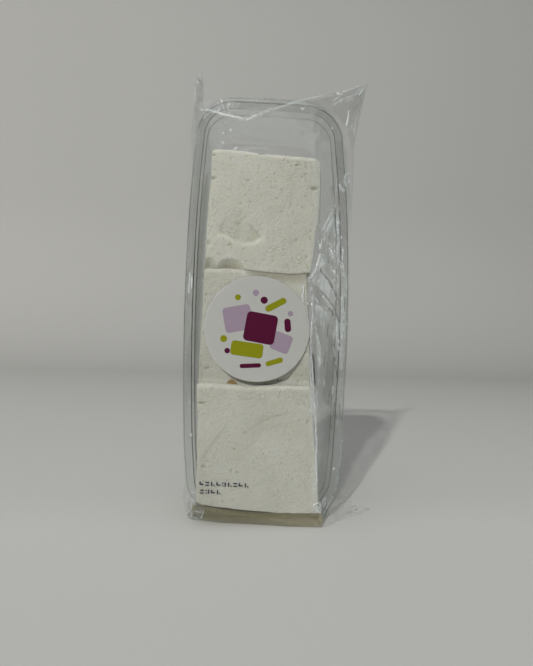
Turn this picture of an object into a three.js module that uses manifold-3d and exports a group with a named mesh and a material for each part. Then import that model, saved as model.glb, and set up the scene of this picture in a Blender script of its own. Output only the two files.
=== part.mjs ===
// A sealed clear pack of marshmallow blocks with a round paper label on its front.
// The pack is a shallow clear tray that stands on its short end with its open side
// to the front (-Y). Three square blocks stand in it, one above the other, and
// reach past the tray's rim. A clear film is wrapped over all of it: flat over the
// blocks, slanting back to the rim, and from the rim back to the tray's floor.
// The film's folded ends make a flat foot, two peaks at the top and one loose
// corner that lies beside the foot.
// Millimetres, +Z up, front towards -Y, origin at the bottom centre of the box
// that holds the whole pack.
import * as THREE from "three";
import { mergeVertices } from "three/addons/utils/BufferGeometryUtils.js";
import { ConvexGeometry } from "three/addons/geometries/ConvexGeometry.js";
import Module from "manifold-3d";

const wasm = await Module();
wasm.setup();

// ---- driving dimensions -------------------------------------------------------
const TRAY_WIDTH = 82; // across the rim
const TRAY_HEIGHT = 208; // along the rim, foot to top
const TRAY_DEPTH = 30; // rim to the outside of the tray's floor
const BASE_INSET = 9.6; // how far the floor's outline lies inside the rim's
const BASE_RADIUS = 14; // corners of the floor's outline
const FILM = 0.3; // film and its slack over the rim
const FILM_TOP = 2.5; // how far the film stands above the top of the rim
const RIM_FILM_RADIUS = 11; // the film's corners in the plane of the rim
const FLANGE = 1.2; // thickness of the rim with the film round it
const SIDE_SLACK = 4; // loose film beside the upper right of the tray
const SLACK_DEPTH = 11; // how far behind the rim the slack is widest

const BLOCKS_LEFT = -31.6; // faces of the stack of blocks
const BLOCKS_RIGHT = 26;
const BLOCKS_BOTTOM = 5;
const BLOCKS_TOP = 176.4;
const BLOCKS_PROUD = 14; // how far they reach past the rim
const BLOCK_EDGE = 2.4; // rounding of their edges

const FOOT_HEIGHT = 9; // the folded film under the tray
const LEAN = 2.744; // degrees that the pack leans back

const LABEL_DIAMETER = 49.6;
const LABEL_THICKNESS = 0.2;
const LABEL_GAP = 0.3; // off the film
const LABEL_CENTRE = [-5.0, 91.2]; // across, and up the pack

const ARC_STEPS = 7; // on each corner of a section
const SIDE_STEPS = 6; // on each straight side of a section

// ---- helpers ------------------------------------------------------------------
// A rounded rectangle as a ring of [x, z], counter-clockwise seen from the front.
// Every ring has the same number of points in the same order, so rings can be
// joined. bow pushes the long sides out in the middle.
function ring(left, right, bottom, top, radius, bow = 0) {
  const corners = [
    [right - radius, top - radius, 0],
    [left + radius, top - radius, 90],
    [left + radius, bottom + radius, 180],
    [right - radius, bottom + radius, 270],
  ];
  const points = [];
  corners.forEach(([cx, cz, start], i) => {
    for (let k = 0; k <= ARC_STEPS; k++) {
      const a = THREE.MathUtils.degToRad(start + (90 * k) / ARC_STEPS);
      points.push([cx + radius * Math.cos(a), cz + radius * Math.sin(a)]);
    }
    const [nx, nz, ns] = corners[(i + 1) % 4];
    const b = THREE.MathUtils.degToRad(ns);
    const from = points[points.length - 1];
    const to = [nx + radius * Math.cos(b), nz + radius * Math.sin(b)];
    for (let k = 1; k < SIDE_STEPS; k++) {
      const t = k / SIDE_STEPS;
      points.push([
        from[0] + (to[0] - from[0]) * t,
        from[1] + (to[1] - from[1]) * t,
      ]);
    }
  });
  const middle = (bottom + top) / 2,
    half = (top - bottom) / 2,
    centre = (left + right) / 2,
    width = (right - left) / 2;
  return points.map(([x, z]) => {
    const u = (z - middle) / half,
      side = (x - centre) / width;
    return [x + side * bow * (1 - u * u), z];
  });
}

// Joins rings of [x, z], each at its own depth y, into one closed solid with flat ends.
function loft(rings) {
  const n = rings[0].points.length;
  const positions = [];
  for (const { y, points } of rings)
    for (const [x, z] of points) positions.push(x, y, z);
  const index = [];
  for (let r = 0; r + 1 < rings.length; r++)
    for (let i = 0; i < n; i++) {
      const j = (i + 1) % n,
        a = r * n + i,
        b = r * n + j,
        c = (r + 1) * n + i,
        d = (r + 1) * n + j;
      index.push(a, c, d, a, d, b);
    }
  const cap = (r, flip) => {
    const contour = rings[r].points.map(([x, z]) => new THREE.Vector2(x, z));
    for (const [a, b, c] of THREE.ShapeUtils.triangulateShape(contour, []))
      flip
        ? index.push(r * n + a, r * n + c, r * n + b)
        : index.push(r * n + a, r * n + b, r * n + c);
  };
  cap(0, false);
  cap(rings.length - 1, true);
  const g = new THREE.BufferGeometry();
  g.setAttribute("position", new THREE.Float32BufferAttribute(positions, 3));
  g.setIndex(index);
  return g;
}

// A closed geometry as a manifold-3d solid, turned the right way out.
function solid(geometry) {
  const g = geometry.clone();
  g.deleteAttribute("normal");
  g.deleteAttribute("uv");
  const merged = mergeVertices(g, 1e-4);
  const make = (triVerts) =>
    new wasm.Manifold(
      new wasm.Mesh({
        numProp: 3,
        vertProperties: merged.attributes.position.array,
        triVerts,
      }),
    );
  const tris = new Uint32Array(merged.index.array);
  const made = make(tris);
  if (made.volume() > 0) return made;
  for (let i = 0; i < tris.length; i += 3)
    [tris[i + 1], tris[i + 2]] = [tris[i + 2], tris[i + 1]];
  return make(tris);
}

function geometryOf(manifold) {
  const m = manifold.getMesh();
  const g = new THREE.BufferGeometry();
  g.setAttribute("position", new THREE.BufferAttribute(m.vertProperties, 3));
  g.setIndex(new THREE.BufferAttribute(m.triVerts, 1));
  const flat = g.toNonIndexed();
  flat.computeVertexNormals();
  return flat;
}

const hull = (points) =>
  new ConvexGeometry(points.map((p) => new THREE.Vector3(...p)));

const leaning = new THREE.Matrix4().makeRotationX(
  -THREE.MathUtils.degToRad(LEAN),
);

// ---- the wrapped pack ---------------------------------------------------------
const half = TRAY_WIDTH / 2 + FILM;
const filmTop = TRAY_HEIGHT + FILM_TOP;

// Loose film beside the upper right of the tray, fading out half-way down.
function slack(points, amount) {
  return points.map(([x, z]) => {
    const up = THREE.MathUtils.smoothstep(z, TRAY_HEIGHT * 0.5, TRAY_HEIGHT * 0.8);
    const right = THREE.MathUtils.smoothstep(x, half * 0.6, half * 0.9);
    return [x + amount * up * right, z];
  });
}

const sections = [];
// Over the blocks: a flat front with rounded edges.
for (const [share, depth] of [
  [1, 0],
  [0.35, 0.12],
  [0, 0.5],
])
  sections.push({
    y: -BLOCKS_PROUD + BLOCK_EDGE * depth,
    points: ring(
      BLOCKS_LEFT + BLOCK_EDGE * share,
      BLOCKS_RIGHT - BLOCK_EDGE * share,
      BLOCKS_BOTTOM + BLOCK_EDGE * share,
      BLOCKS_TOP - BLOCK_EDGE * share,
      BLOCK_EDGE * 1.5,
    ),
  });
// Round the rim.
for (const y of [0, FLANGE])
  sections.push({
    y,
    points: ring(-half, half, 0, filmTop, RIM_FILM_RADIUS, 0.4),
  });
// Behind the rim, where the film is loose at the right.
const between = SLACK_DEPTH / TRAY_DEPTH;
sections.push({
  y: SLACK_DEPTH,
  points: slack(
    ring(
      -half + BASE_INSET * between * 0.85,
      half - BASE_INSET * between * 0.85,
      BASE_INSET * between * 0.5,
      filmTop - BASE_INSET * between * 0.8,
      RIM_FILM_RADIUS,
    ),
    SIDE_SLACK + BASE_INSET * between,
  ),
});
// Over the tray's floor, with a rounded edge.
for (const [back, grow] of [
  [1.6, 0],
  [0.4, -0.5],
  [0, -1.6],
])
  sections.push({
    y: TRAY_DEPTH - back,
    points: ring(
      -half + BASE_INSET - grow,
      half - BASE_INSET + grow,
      BASE_INSET - grow,
      TRAY_HEIGHT - BASE_INSET + grow,
      BASE_RADIUS,
    ),
  });
const bodyGeometry = loft(sections);
bodyGeometry.applyMatrix4(leaning);

// The foot: the film folded under the tray's lower end. Its front edge runs from
// the rim at the left to the front of the blocks at the right.
const footOutline = new THREE.Shape(
  [
    [-36, 0],
    [-34, -3.4],
    [-20, -8],
    [-4, -10.6],
    [12, -12.8],
    [27, -BLOCKS_PROUD],
    [32, -2],
    [35, 12],
    [33, 26],
    [-33, 26],
    [-36, 12],
  ].map(([x, y]) => new THREE.Vector2(x, y)),
);
const footGeometry = new THREE.ExtrudeGeometry(footOutline, {
  depth: FOOT_HEIGHT,
  bevelEnabled: false,
});

// The film's loose corners. The first two stand above the tray's top corners.
const peakLeft = hull([
  [-38.6, -1, 192],
  [-34.4, 0, 196],
  [-38.8, 6, 214],
  [-37.6, 7, 224],
  [-36.2, 8, 227.4],
  [-34.6, 6, 214],
  [-36, 24, 192],
  [-34, 24, 190],
]);
peakLeft.applyMatrix4(leaning);
const peakRight = hull([
  [16, -0.5, 209],
  [40, -2, 196],
  [42, 0, 170],
  [44.8, 6, 190],
  [47.2, 5, 206],
  [51.4, 7, 223],
  [50, 9, 223],
  [38, 22, 196],
  [20, 8, 208],
]);
peakRight.applyMatrix4(leaning);
const cornerOnTable = hull([
  [25, -13, 0],
  [27.4, -13.6, 2.4],
  [57.8, 12.4, 0],
  [57.4, 13, 0.9],
  [34, 31, 0],
  [33, 28, 6],
  [30, 4, 8],
  [24, 10, 0],
]);

const ground = new THREE.BoxGeometry(400, 400, 60);
ground.translate(0, 0, -30);

const pack = solid(bodyGeometry)
  .add(solid(footGeometry))
  .add(solid(peakLeft))
  .add(solid(peakRight))
  .add(solid(cornerOnTable))
  .subtract(solid(ground));

const clearFilm = new THREE.MeshStandardMaterial({
  color: 0xd9dad4,
  roughness: 0.08,
  metalness: 0,
  transparent: true,
  opacity: 0.45,
});
const packMesh = new THREE.Mesh(geometryOf(pack), clearFilm);
packMesh.name = "clear_pack";

// ---- the round label ----------------------------------------------------------
const paper = new THREE.MeshStandardMaterial({
  color: 0xe9eae4,
  roughness: 0.45,
  metalness: 0,
});
const labelMesh = new THREE.Mesh(
  new THREE.CylinderGeometry(
    LABEL_DIAMETER / 2,
    LABEL_DIAMETER / 2,
    LABEL_THICKNESS,
    72,
  ),
  paper,
);
labelMesh.name = "round_label";
labelMesh.position.set(
  LABEL_CENTRE[0],
  -BLOCKS_PROUD - LABEL_GAP - LABEL_THICKNESS / 2,
  LABEL_CENTRE[1],
);
const leaningGroup = new THREE.Group();
leaningGroup.rotation.x = -THREE.MathUtils.degToRad(LEAN);
leaningGroup.add(labelMesh);

// ---- the whole, with its origin at the bottom centre of its box ---------------
const group = new THREE.Group();
group.add(packMesh, leaningGroup);
group.updateMatrixWorld(true);
const box = new THREE.Box3().setFromObject(group, true);
group.position.set(
  -(box.min.x + box.max.x) / 2,
  -(box.min.y + box.max.y) / 2,
  -box.min.z,
);
group.updateMatrixWorld(true);

export default group;
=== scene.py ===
# A sealed clear pack of marshmallow blocks: the blocks, the clear tray, the film, the round
# label and the printed marks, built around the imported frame. Lengths in the code are
# millimetres in the pack's own frame (x across, y from the rim to the back, z up along the
# tray from the rim's lower end); to_row() turns them into metres in the row's frame.
import math

import bmesh
import bpy
import numpy as np
from mathutils import Matrix, Vector, kdtree


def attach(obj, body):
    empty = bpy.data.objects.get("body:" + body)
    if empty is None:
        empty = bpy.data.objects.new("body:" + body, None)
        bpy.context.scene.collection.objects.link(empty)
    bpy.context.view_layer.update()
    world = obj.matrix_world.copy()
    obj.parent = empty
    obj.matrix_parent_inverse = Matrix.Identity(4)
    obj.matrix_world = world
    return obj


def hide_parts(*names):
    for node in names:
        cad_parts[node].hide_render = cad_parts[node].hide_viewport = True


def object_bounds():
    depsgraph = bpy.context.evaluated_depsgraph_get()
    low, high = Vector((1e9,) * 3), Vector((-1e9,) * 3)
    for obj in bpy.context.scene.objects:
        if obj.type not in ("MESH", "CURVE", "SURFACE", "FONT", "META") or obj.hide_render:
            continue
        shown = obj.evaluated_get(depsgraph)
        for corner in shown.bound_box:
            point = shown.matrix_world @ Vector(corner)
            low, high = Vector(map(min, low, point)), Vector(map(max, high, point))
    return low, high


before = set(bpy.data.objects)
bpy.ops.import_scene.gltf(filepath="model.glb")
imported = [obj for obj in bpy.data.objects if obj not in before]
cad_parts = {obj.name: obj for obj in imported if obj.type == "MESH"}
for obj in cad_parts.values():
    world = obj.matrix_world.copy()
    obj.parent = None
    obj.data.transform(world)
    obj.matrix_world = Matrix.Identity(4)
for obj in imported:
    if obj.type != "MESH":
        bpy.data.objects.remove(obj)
cad_box = [list(v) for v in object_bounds()]

# ------------------------------------------------------------------ frames
LEAN = math.radians(2.744)
CL, SL = math.cos(LEAN), math.sin(LEAN)
SHIFT = np.array([-8.05, -12.6936, 0.0])
CAM = np.array([-27.15, -273.68, 90.10])
RIGHT = np.array([0.99693, -0.07368, 0.02639])
UP = np.array([-0.02632, 0.00195, 0.99965])
AHEAD = np.array([0.07371, 0.99728, 0.0])
FOCAL = 534.0  # pixels, for an image of 533 x 666


def row_mm(p):
    p = np.asarray(p, float)
    x, y, z = p[..., 0], p[..., 1], p[..., 2]
    return np.stack([x, y * CL + z * SL, z * CL - y * SL], -1) + SHIFT


def to_row(p):
    return row_mm(p) / 1000.0


def pack_mm(q):
    q = np.asarray(q, float) - SHIFT
    x, y, z = q[..., 0], q[..., 1], q[..., 2]
    return np.stack([x, y * CL - z * SL, z * CL + y * SL], -1)


def pixel(p):
    """Where points of the pack frame lie in the picture."""
    d = row_mm(p) - CAM
    f = d @ AHEAD
    return np.stack([266.5 + FOCAL * (d @ RIGHT) / f, 333 - FOCAL * (d @ UP) / f], -1)


EYE = pack_mm(CAM)
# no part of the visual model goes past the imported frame's box
BOX_LO = np.array(cad_box[0]) * 1000 + 0.02
BOX_HI = np.array(cad_box[1]) * 1000 - 0.02
BOX_LO[2] = 0.03


def at_depth(px, py, y):
    """The point at depth y of the pack frame that lies at a place in the picture."""
    d = RIGHT * (px - 266.5) / FOCAL + AHEAD - UP * (py - 333) / FOCAL
    q = pack_mm(CAM + d) - EYE
    return EYE + q * (y - EYE[1]) / q[1]


def on_table(px, py, height=0.0):
    d = RIGHT * (px - 266.5) / FOCAL + AHEAD - UP * (py - 333) / FOCAL
    q = CAM + d * (height - CAM[2]) / d[2]
    return pack_mm(q)


# ------------------------------------------------------------------ small tools
def smooth(a, lo, hi):
    t = np.clip((np.asarray(a, float) - lo) / (hi - lo), 0, 1)
    return t * t * (3 - 2 * t)


class Noise:
    """Gradient noise of three coordinates, the same each run."""

    def __init__(self, seed):
        rng = np.random.RandomState(seed)
        self.perm = np.tile(rng.permutation(256), 3)
        g = rng.normal(size=(256, 3))
        self.grad = g / np.linalg.norm(g, axis=1, keepdims=True)

    def __call__(self, p):
        p = np.asarray(p, float)
        i = np.floor(p).astype(int)
        f = p - i
        i &= 255
        w = f * f * f * (f * (f * 6 - 15) + 10)
        out = 0
        for dx in (0, 1):
            for dy in (0, 1):
                for dz in (0, 1):
                    h = self.perm[self.perm[self.perm[i[:, 0] + dx] + i[:, 1] + dy] + i[:, 2] + dz]
                    d = ((f - [dx, dy, dz]) * self.grad[h]).sum(1)
                    wx = w[:, 0] if dx else 1 - w[:, 0]
                    wy = w[:, 1] if dy else 1 - w[:, 1]
                    wz = w[:, 2] if dz else 1 - w[:, 2]
                    out = out + wx * wy * wz * d
        return out * 1.6

    def layers(self, p, octaves=4, gain=0.5):
        total, amp = 0, 1.0
        for k in range(octaves):
            total = total + amp * self(np.asarray(p) * 2.0**k + 17.3 * k)
            amp *= gain
        return total


def make(name, verts, faces, material, smooth_faces=True, body="root", attribute=None, margin=0.0):
    """A mesh object from points of the pack frame in millimetres."""
    q = np.clip(row_mm(verts), BOX_LO + margin, BOX_HI - margin) / 1000.0
    me = bpy.data.meshes.new(name)
    me.from_pydata(q.tolist(), [], [tuple(int(i) for i in f) for f in faces])
    me.validate()
    if smooth_faces:
        me.polygons.foreach_set("use_smooth", [True] * len(me.polygons))
    if attribute is not None:
        a = me.color_attributes.new("marks", "FLOAT_COLOR", "POINT")
        data = np.zeros((len(verts), 4))
        data[:, : attribute.shape[1]] = attribute
        data[:, 3] = 1
        a.data.foreach_set("color", data.ravel())
    me.materials.append(material)
    o = bpy.data.objects.new(name, me)
    bpy.context.collection.objects.link(o)
    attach(o, body)
    return o


def loft_faces(rows, n, closed=True):
    faces = []
    m = n if closed else n - 1
    for r in range(rows - 1):
        a = r * n
        for i in range(m):
            j = (i + 1) % n
            faces.append((a + i, a + j, a + n + j, a + n + i))
    return faces


def seg_distance(q, line):
    """Distance from points q to a polyline, and how far along it (0 to 1) the nearest place is."""
    line = np.asarray(line, float)
    if len(line) == 1:
        return np.hypot(*(q - line[0]).T), np.zeros(len(q))
    best = np.full(len(q), 1e9)
    along = np.zeros(len(q))
    lengths = np.hypot(*(line[1:] - line[:-1]).T)
    total = lengths.sum()
    start = 0.0
    for a, b, l in zip(line[:-1], line[1:], lengths):
        ab = b - a
        t = np.clip(((q - a) @ ab) / (l * l + 1e-12), 0, 1)
        d = np.hypot(*(q - a - t[:, None] * ab).T)
        near = d < best
        best[near] = d[near]
        along[near] = (start + t[near] * l) / (total + 1e-12)
        start += l
    return best, along


def nearest_side(q, line):
    """1 for points on the right-hand side of a polyline's direction as seen in the picture, -1
    on the left-hand side, by the nearest segment."""
    best = np.full(len(q), 1e9)
    side = np.ones(len(q))
    for a, b in zip(line[:-1], line[1:]):
        ab = b - a
        t = np.clip(((q - a) @ ab) / (ab @ ab + 1e-12), 0, 1)
        d = np.hypot(*(q - a - t[:, None] * ab).T)
        s_ = np.sign(ab[0] * (q[:, 1] - a[1]) - ab[1] * (q[:, 0] - a[0]))
        near = d < best - 1e-9
        best[near] = d[near]
        side[near] = s_[near]
    return side


def area_mask(q, poly, soft):
    """1 inside a polygon of the picture, fading to 0 over soft pixels at its outline."""
    poly = np.asarray(poly, float)
    inside = np.zeros(len(q), bool)
    n = len(poly)
    j = n - 1
    for i in range(n):
        xi, yi = poly[i]
        xj, yj = poly[j]
        hit = ((yi > q[:, 1]) != (yj > q[:, 1])) & (q[:, 0] < (xj - xi) * (q[:, 1] - yi) / (yj - yi + 1e-12) + xi)
        inside ^= hit
        j = i
    d, _ = seg_distance(q, np.vstack([poly, poly[:1]]))
    return smooth(np.where(inside, d, -d), -soft * 0.5, soft * 0.5)


# ------------------------------------------------------------------ materials
def material(name):
    m = bpy.data.materials.new(name)
    m.use_nodes = True
    m.node_tree.nodes.clear()
    return m, m.node_tree.nodes, m.node_tree.links


def clear_material(
    name,
    gloss=1.0,
    rough=0.05,
    haze=0.02,
    tint=0.0,
    bump=0.0,
    bump_scale=300.0,
    light=(0.93, 1.0, 1.0),
    dark=(0.055, 0.068, 0.055),
    marks=True,
):
    """Clear plastic: see-through with a gloss that grows at grazing angles. Two channels of the mesh's marks add
    painted highlights along creases and facets, and painted dark lines and shade at moulded edges, folds and shaded
    places."""
    m, nodes, links = material(name)
    out = nodes.new("ShaderNodeOutputMaterial")
    see = nodes.new("ShaderNodeBsdfTransparent")
    see.inputs["Color"].default_value = (1, 1, 1, 1)
    shine = nodes.new("ShaderNodeBsdfGlossy")
    shine.inputs["Color"].default_value = (0.94, 1.0, 0.97, 1)
    shine.inputs["Roughness"].default_value = rough
    # gloss that grows towards grazing angles, the same seen from either side of the sheet
    facing = nodes.new("ShaderNodeLayerWeight")
    facing.inputs["Blend"].default_value = 0.5
    power = nodes.new("ShaderNodeMath")
    power.operation = "POWER"
    power.inputs[1].default_value = 4.5
    links.new(facing.outputs["Facing"], power.inputs[0])
    gain = nodes.new("ShaderNodeMath")
    gain.operation = "MULTIPLY_ADD"
    gain.use_clamp = True
    gain.inputs[1].default_value = 0.45 * gloss
    gain.inputs[2].default_value = 0.055 * gloss
    links.new(power.outputs[0], gain.inputs[0])
    mix = nodes.new("ShaderNodeMixShader")
    links.new(gain.outputs[0], mix.inputs[0])
    links.new(see.outputs[0], mix.inputs[1])
    links.new(shine.outputs[0], mix.inputs[2])
    pale = nodes.new("ShaderNodeBsdfPrincipled")
    pale.inputs["Base Color"].default_value = (*light, 1)
    pale.inputs["Roughness"].default_value = 0.3
    deep = nodes.new("ShaderNodeBsdfPrincipled")
    deep.inputs["Base Color"].default_value = (*dark, 1)
    deep.inputs["Roughness"].default_value = 0.25
    mix_pale = nodes.new("ShaderNodeMixShader")
    mix_deep = nodes.new("ShaderNodeMixShader")
    links.new(mix.outputs[0], mix_pale.inputs[1])
    links.new(pale.outputs[0], mix_pale.inputs[2])
    links.new(mix_pale.outputs[0], mix_deep.inputs[1])
    links.new(deep.outputs[0], mix_deep.inputs[2])
    links.new(mix_deep.outputs[0], out.inputs["Surface"])
    if marks:
        read = nodes.new("ShaderNodeAttribute")
        read.attribute_name = "marks"
        split = nodes.new("ShaderNodeSeparateColor")
        links.new(read.outputs["Color"], split.inputs[0])
        for channel, base, target in ((0, haze, mix_pale), (1, tint, mix_deep)):
            add = nodes.new("ShaderNodeMath")
            add.operation = "ADD"
            add.use_clamp = True
            add.inputs[1].default_value = base
            links.new(split.outputs[channel], add.inputs[0])
            links.new(add.outputs[0], target.inputs[0])
    else:
        mix_pale.inputs[0].default_value = haze
        mix_deep.inputs[0].default_value = tint
    if bump:
        where = nodes.new("ShaderNodeTexCoord")
        noise = nodes.new("ShaderNodeTexNoise")
        noise.inputs["Scale"].default_value = bump_scale
        noise.inputs["Detail"].default_value = 3
        links.new(where.outputs["Object"], noise.inputs["Vector"])
        b = nodes.new("ShaderNodeBump")
        b.inputs["Strength"].default_value = bump
        b.inputs["Distance"].default_value = 0.0005
        links.new(noise.outputs["Fac"], b.inputs["Height"])
        links.new(b.outputs[0], shine.inputs["Normal"])
    return m


def marshmallow_material():
    m, nodes, links = material("marshmallow")
    out = nodes.new("ShaderNodeOutputMaterial")
    p = nodes.new("ShaderNodeBsdfPrincipled")
    where = nodes.new("ShaderNodeTexCoord")
    big = nodes.new("ShaderNodeTexNoise")
    big.inputs["Scale"].default_value = 55
    big.inputs["Detail"].default_value = 4
    fine = nodes.new("ShaderNodeTexNoise")
    fine.inputs["Scale"].default_value = 1700
    fine.inputs["Detail"].default_value = 3
    pores = nodes.new("ShaderNodeTexVoronoi")
    pores.inputs["Scale"].default_value = 900
    for n in (big, fine, pores):
        links.new(where.outputs["Object"], n.inputs["Vector"])
    ramp = nodes.new("ShaderNodeValToRGB")
    ramp.color_ramp.elements[0].position = 0.35
    ramp.color_ramp.elements[0].color = (0.86, 0.86, 0.755, 1)
    ramp.color_ramp.elements[1].position = 0.68
    ramp.color_ramp.elements[1].color = (0.925, 0.925, 0.83, 1)
    links.new(big.outputs["Fac"], ramp.inputs[0])
    # the tan spot, the painted warm shade where blocks meet, the painted shade in pores, folds and worn edges and the
    # painted shading across each face come from the mesh's marks
    read = nodes.new("ShaderNodeAttribute")
    read.attribute_name = "marks"
    split = nodes.new("ShaderNodeSeparateColor")
    links.new(read.outputs["Color"], split.inputs[0])
    tan = nodes.new("ShaderNodeMix")
    tan.data_type = "RGBA"
    tan.inputs[7].default_value = (0.50, 0.34, 0.13, 1)
    links.new(split.outputs[0], tan.inputs[0])
    links.new(ramp.outputs[0], tan.inputs[6])
    # painted shade in small pores from a Voronoi pattern, which also dents the surface
    dots = nodes.new("ShaderNodeTexVoronoi")
    dots.inputs["Scale"].default_value = 400
    dots.inputs["Randomness"].default_value = 1.0
    links.new(where.outputs["Object"], dots.inputs["Vector"])
    hole = nodes.new("ShaderNodeMapRange")
    hole.inputs["From Min"].default_value = 0.145
    hole.inputs["From Max"].default_value = 0.07
    hole.inputs["To Min"].default_value = 0.0
    hole.inputs["To Max"].default_value = 0.75
    links.new(dots.outputs["Distance"], hole.inputs["Value"])
    deeper = nodes.new("ShaderNodeMath")
    deeper.operation = "MAXIMUM"
    links.new(split.outputs[1], deeper.inputs[0])
    links.new(hole.outputs[0], deeper.inputs[1])
    shade = nodes.new("ShaderNodeMix")
    shade.data_type = "RGBA"
    shade.inputs[7].default_value = (0.50, 0.48, 0.36, 1)
    links.new(deeper.outputs[0], shade.inputs[0])
    links.new(tan.outputs[2], shade.inputs[6])
    # darker by the third mark: the block's colour level with painted shading
    tone_and_painted_shade = nodes.new("ShaderNodeMix")
    tone_and_painted_shade.data_type = "RGBA"
    tone_and_painted_shade.blend_type = "MULTIPLY"
    tone_and_painted_shade.inputs[7].default_value = (0.62, 0.62, 0.61, 1)
    links.new(split.outputs[2], tone_and_painted_shade.inputs[0])
    links.new(shade.outputs[2], tone_and_painted_shade.inputs[6])
    links.new(tone_and_painted_shade.outputs[2], p.inputs["Base Color"])
    p.inputs["Roughness"].default_value = 0.85
    p.inputs["Specular IOR Level"].default_value = 0.25
    p.inputs["Subsurface Weight"].default_value = 0.32
    p.inputs["Subsurface Radius"].default_value = (1.0, 0.85, 0.6)
    p.inputs["Subsurface Scale"].default_value = 0.003
    b1 = nodes.new("ShaderNodeBump")
    b1.inputs["Strength"].default_value = 0.9
    b1.inputs["Distance"].default_value = 0.0005
    links.new(fine.outputs["Fac"], b1.inputs["Height"])
    b2 = nodes.new("ShaderNodeBump")
    b2.inputs["Strength"].default_value = 0.5
    b2.inputs["Distance"].default_value = 0.0004
    links.new(pores.outputs["Distance"], b2.inputs["Height"])
    links.new(b1.outputs[0], b2.inputs["Normal"])
    b3 = nodes.new("ShaderNodeBump")
    b3.invert = True
    b3.inputs["Strength"].default_value = 0.6
    b3.inputs["Distance"].default_value = 0.0005
    links.new(hole.outputs[0], b3.inputs["Height"])
    links.new(b2.outputs[0], b3.inputs["Normal"])
    links.new(b3.outputs[0], p.inputs["Normal"])
    links.new(p.outputs[0], out.inputs["Surface"])
    return m


def plain_material(name, colour, rough=0.4, coat=0.0, vary=0.04, scale=400.0, bump=0.1, spec=0.5):
    m, nodes, links = material(name)
    out = nodes.new("ShaderNodeOutputMaterial")
    p = nodes.new("ShaderNodeBsdfPrincipled")
    where = nodes.new("ShaderNodeTexCoord")
    noise = nodes.new("ShaderNodeTexNoise")
    noise.inputs["Scale"].default_value = scale
    noise.inputs["Detail"].default_value = 4
    links.new(where.outputs["Object"], noise.inputs["Vector"])
    ramp = nodes.new("ShaderNodeValToRGB")
    lo = [max(0, c * (1 - vary)) for c in colour]
    hi = [min(1, c * (1 + vary)) for c in colour]
    ramp.color_ramp.elements[0].position = 0.3
    ramp.color_ramp.elements[0].color = (*lo, 1)
    ramp.color_ramp.elements[1].position = 0.7
    ramp.color_ramp.elements[1].color = (*hi, 1)
    links.new(noise.outputs["Fac"], ramp.inputs[0])
    links.new(ramp.outputs[0], p.inputs["Base Color"])
    p.inputs["Roughness"].default_value = rough
    p.inputs["Coat Weight"].default_value = coat
    p.inputs["Specular IOR Level"].default_value = spec
    p.inputs["Coat Roughness"].default_value = 0.15
    b = nodes.new("ShaderNodeBump")
    b.inputs["Strength"].default_value = bump
    b.inputs["Distance"].default_value = 0.0001
    links.new(noise.outputs["Fac"], b.inputs["Height"])
    links.new(b.outputs[0], p.inputs["Normal"])
    links.new(p.outputs[0], out.inputs["Surface"])
    return m


FILM_M = clear_material("clear_film", gloss=1.2, rough=0.03, haze=0.010, tint=0.022, bump=0.25, bump_scale=120)
EAR_M = clear_material("clear_film_loose", gloss=1.5, rough=0.045, haze=0.02, tint=0.055, bump=0.3, bump_scale=150)
CREASE_M = clear_material("clear_film_creased", gloss=2.4, rough=0.17, haze=0.02, tint=0.04, bump=0, dark=(0.05, 0.06, 0.05), light=(0.97, 1.0, 1.0))
TRAY_M = clear_material("clear_tray", gloss=1.0, rough=0.04, haze=0.012, tint=0.02, bump=0.15, bump_scale=90, dark=(0.055, 0.072, 0.045))
MALLOW_M = marshmallow_material()
PAPER_M = plain_material("label_paper", (0.565, 0.567, 0.545), rough=0.5, coat=0.1, vary=0.015, scale=700)
# thin paper lets some light through
paper = next(n for n in PAPER_M.node_tree.nodes if n.type == "BSDF_PRINCIPLED")
paper.inputs["Subsurface Weight"].default_value = 0.6
paper.inputs["Subsurface Radius"].default_value = (1.0, 0.97, 0.9)
paper.inputs["Subsurface Scale"].default_value = 0.0003
PLUM_M = plain_material("print_plum", (0.088, 0.0015, 0.032), rough=0.6, spec=0.15, coat=0.0, scale=900)
OLIVE_M = plain_material("print_olive", (0.27, 0.285, 0.004), rough=0.6, spec=0.15, coat=0.0, scale=900)
LILAC_M = plain_material("print_lilac", (0.37, 0.295, 0.375), rough=0.6, spec=0.15, coat=0.0, scale=900)
INK_M = plain_material("ink", (0.018, 0.018, 0.045), rough=0.7, vary=0.3, scale=1500, spec=0.15)

# ------------------------------------------------------------------ the tray's outline
TRAY_W, TRAY_H = 82.0, 208.0
R_SIDE, R_END, R_CORNER = 977.0, 917.0, 19.0
SEGMENTS = [("R", 420), ("TR", 60), ("T", 112), ("TL", 60), ("L", 210), ("BL", 36), ("B", 84), ("BR", 36)]
N_RING = sum(n for _, n in SEGMENTS)


def segment_slices():
    at, out = 0, {}
    for name, n in SEGMENTS:
        out[name] = slice(at, at + n)
        at += n
    return out


SL_OF = segment_slices()


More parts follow.
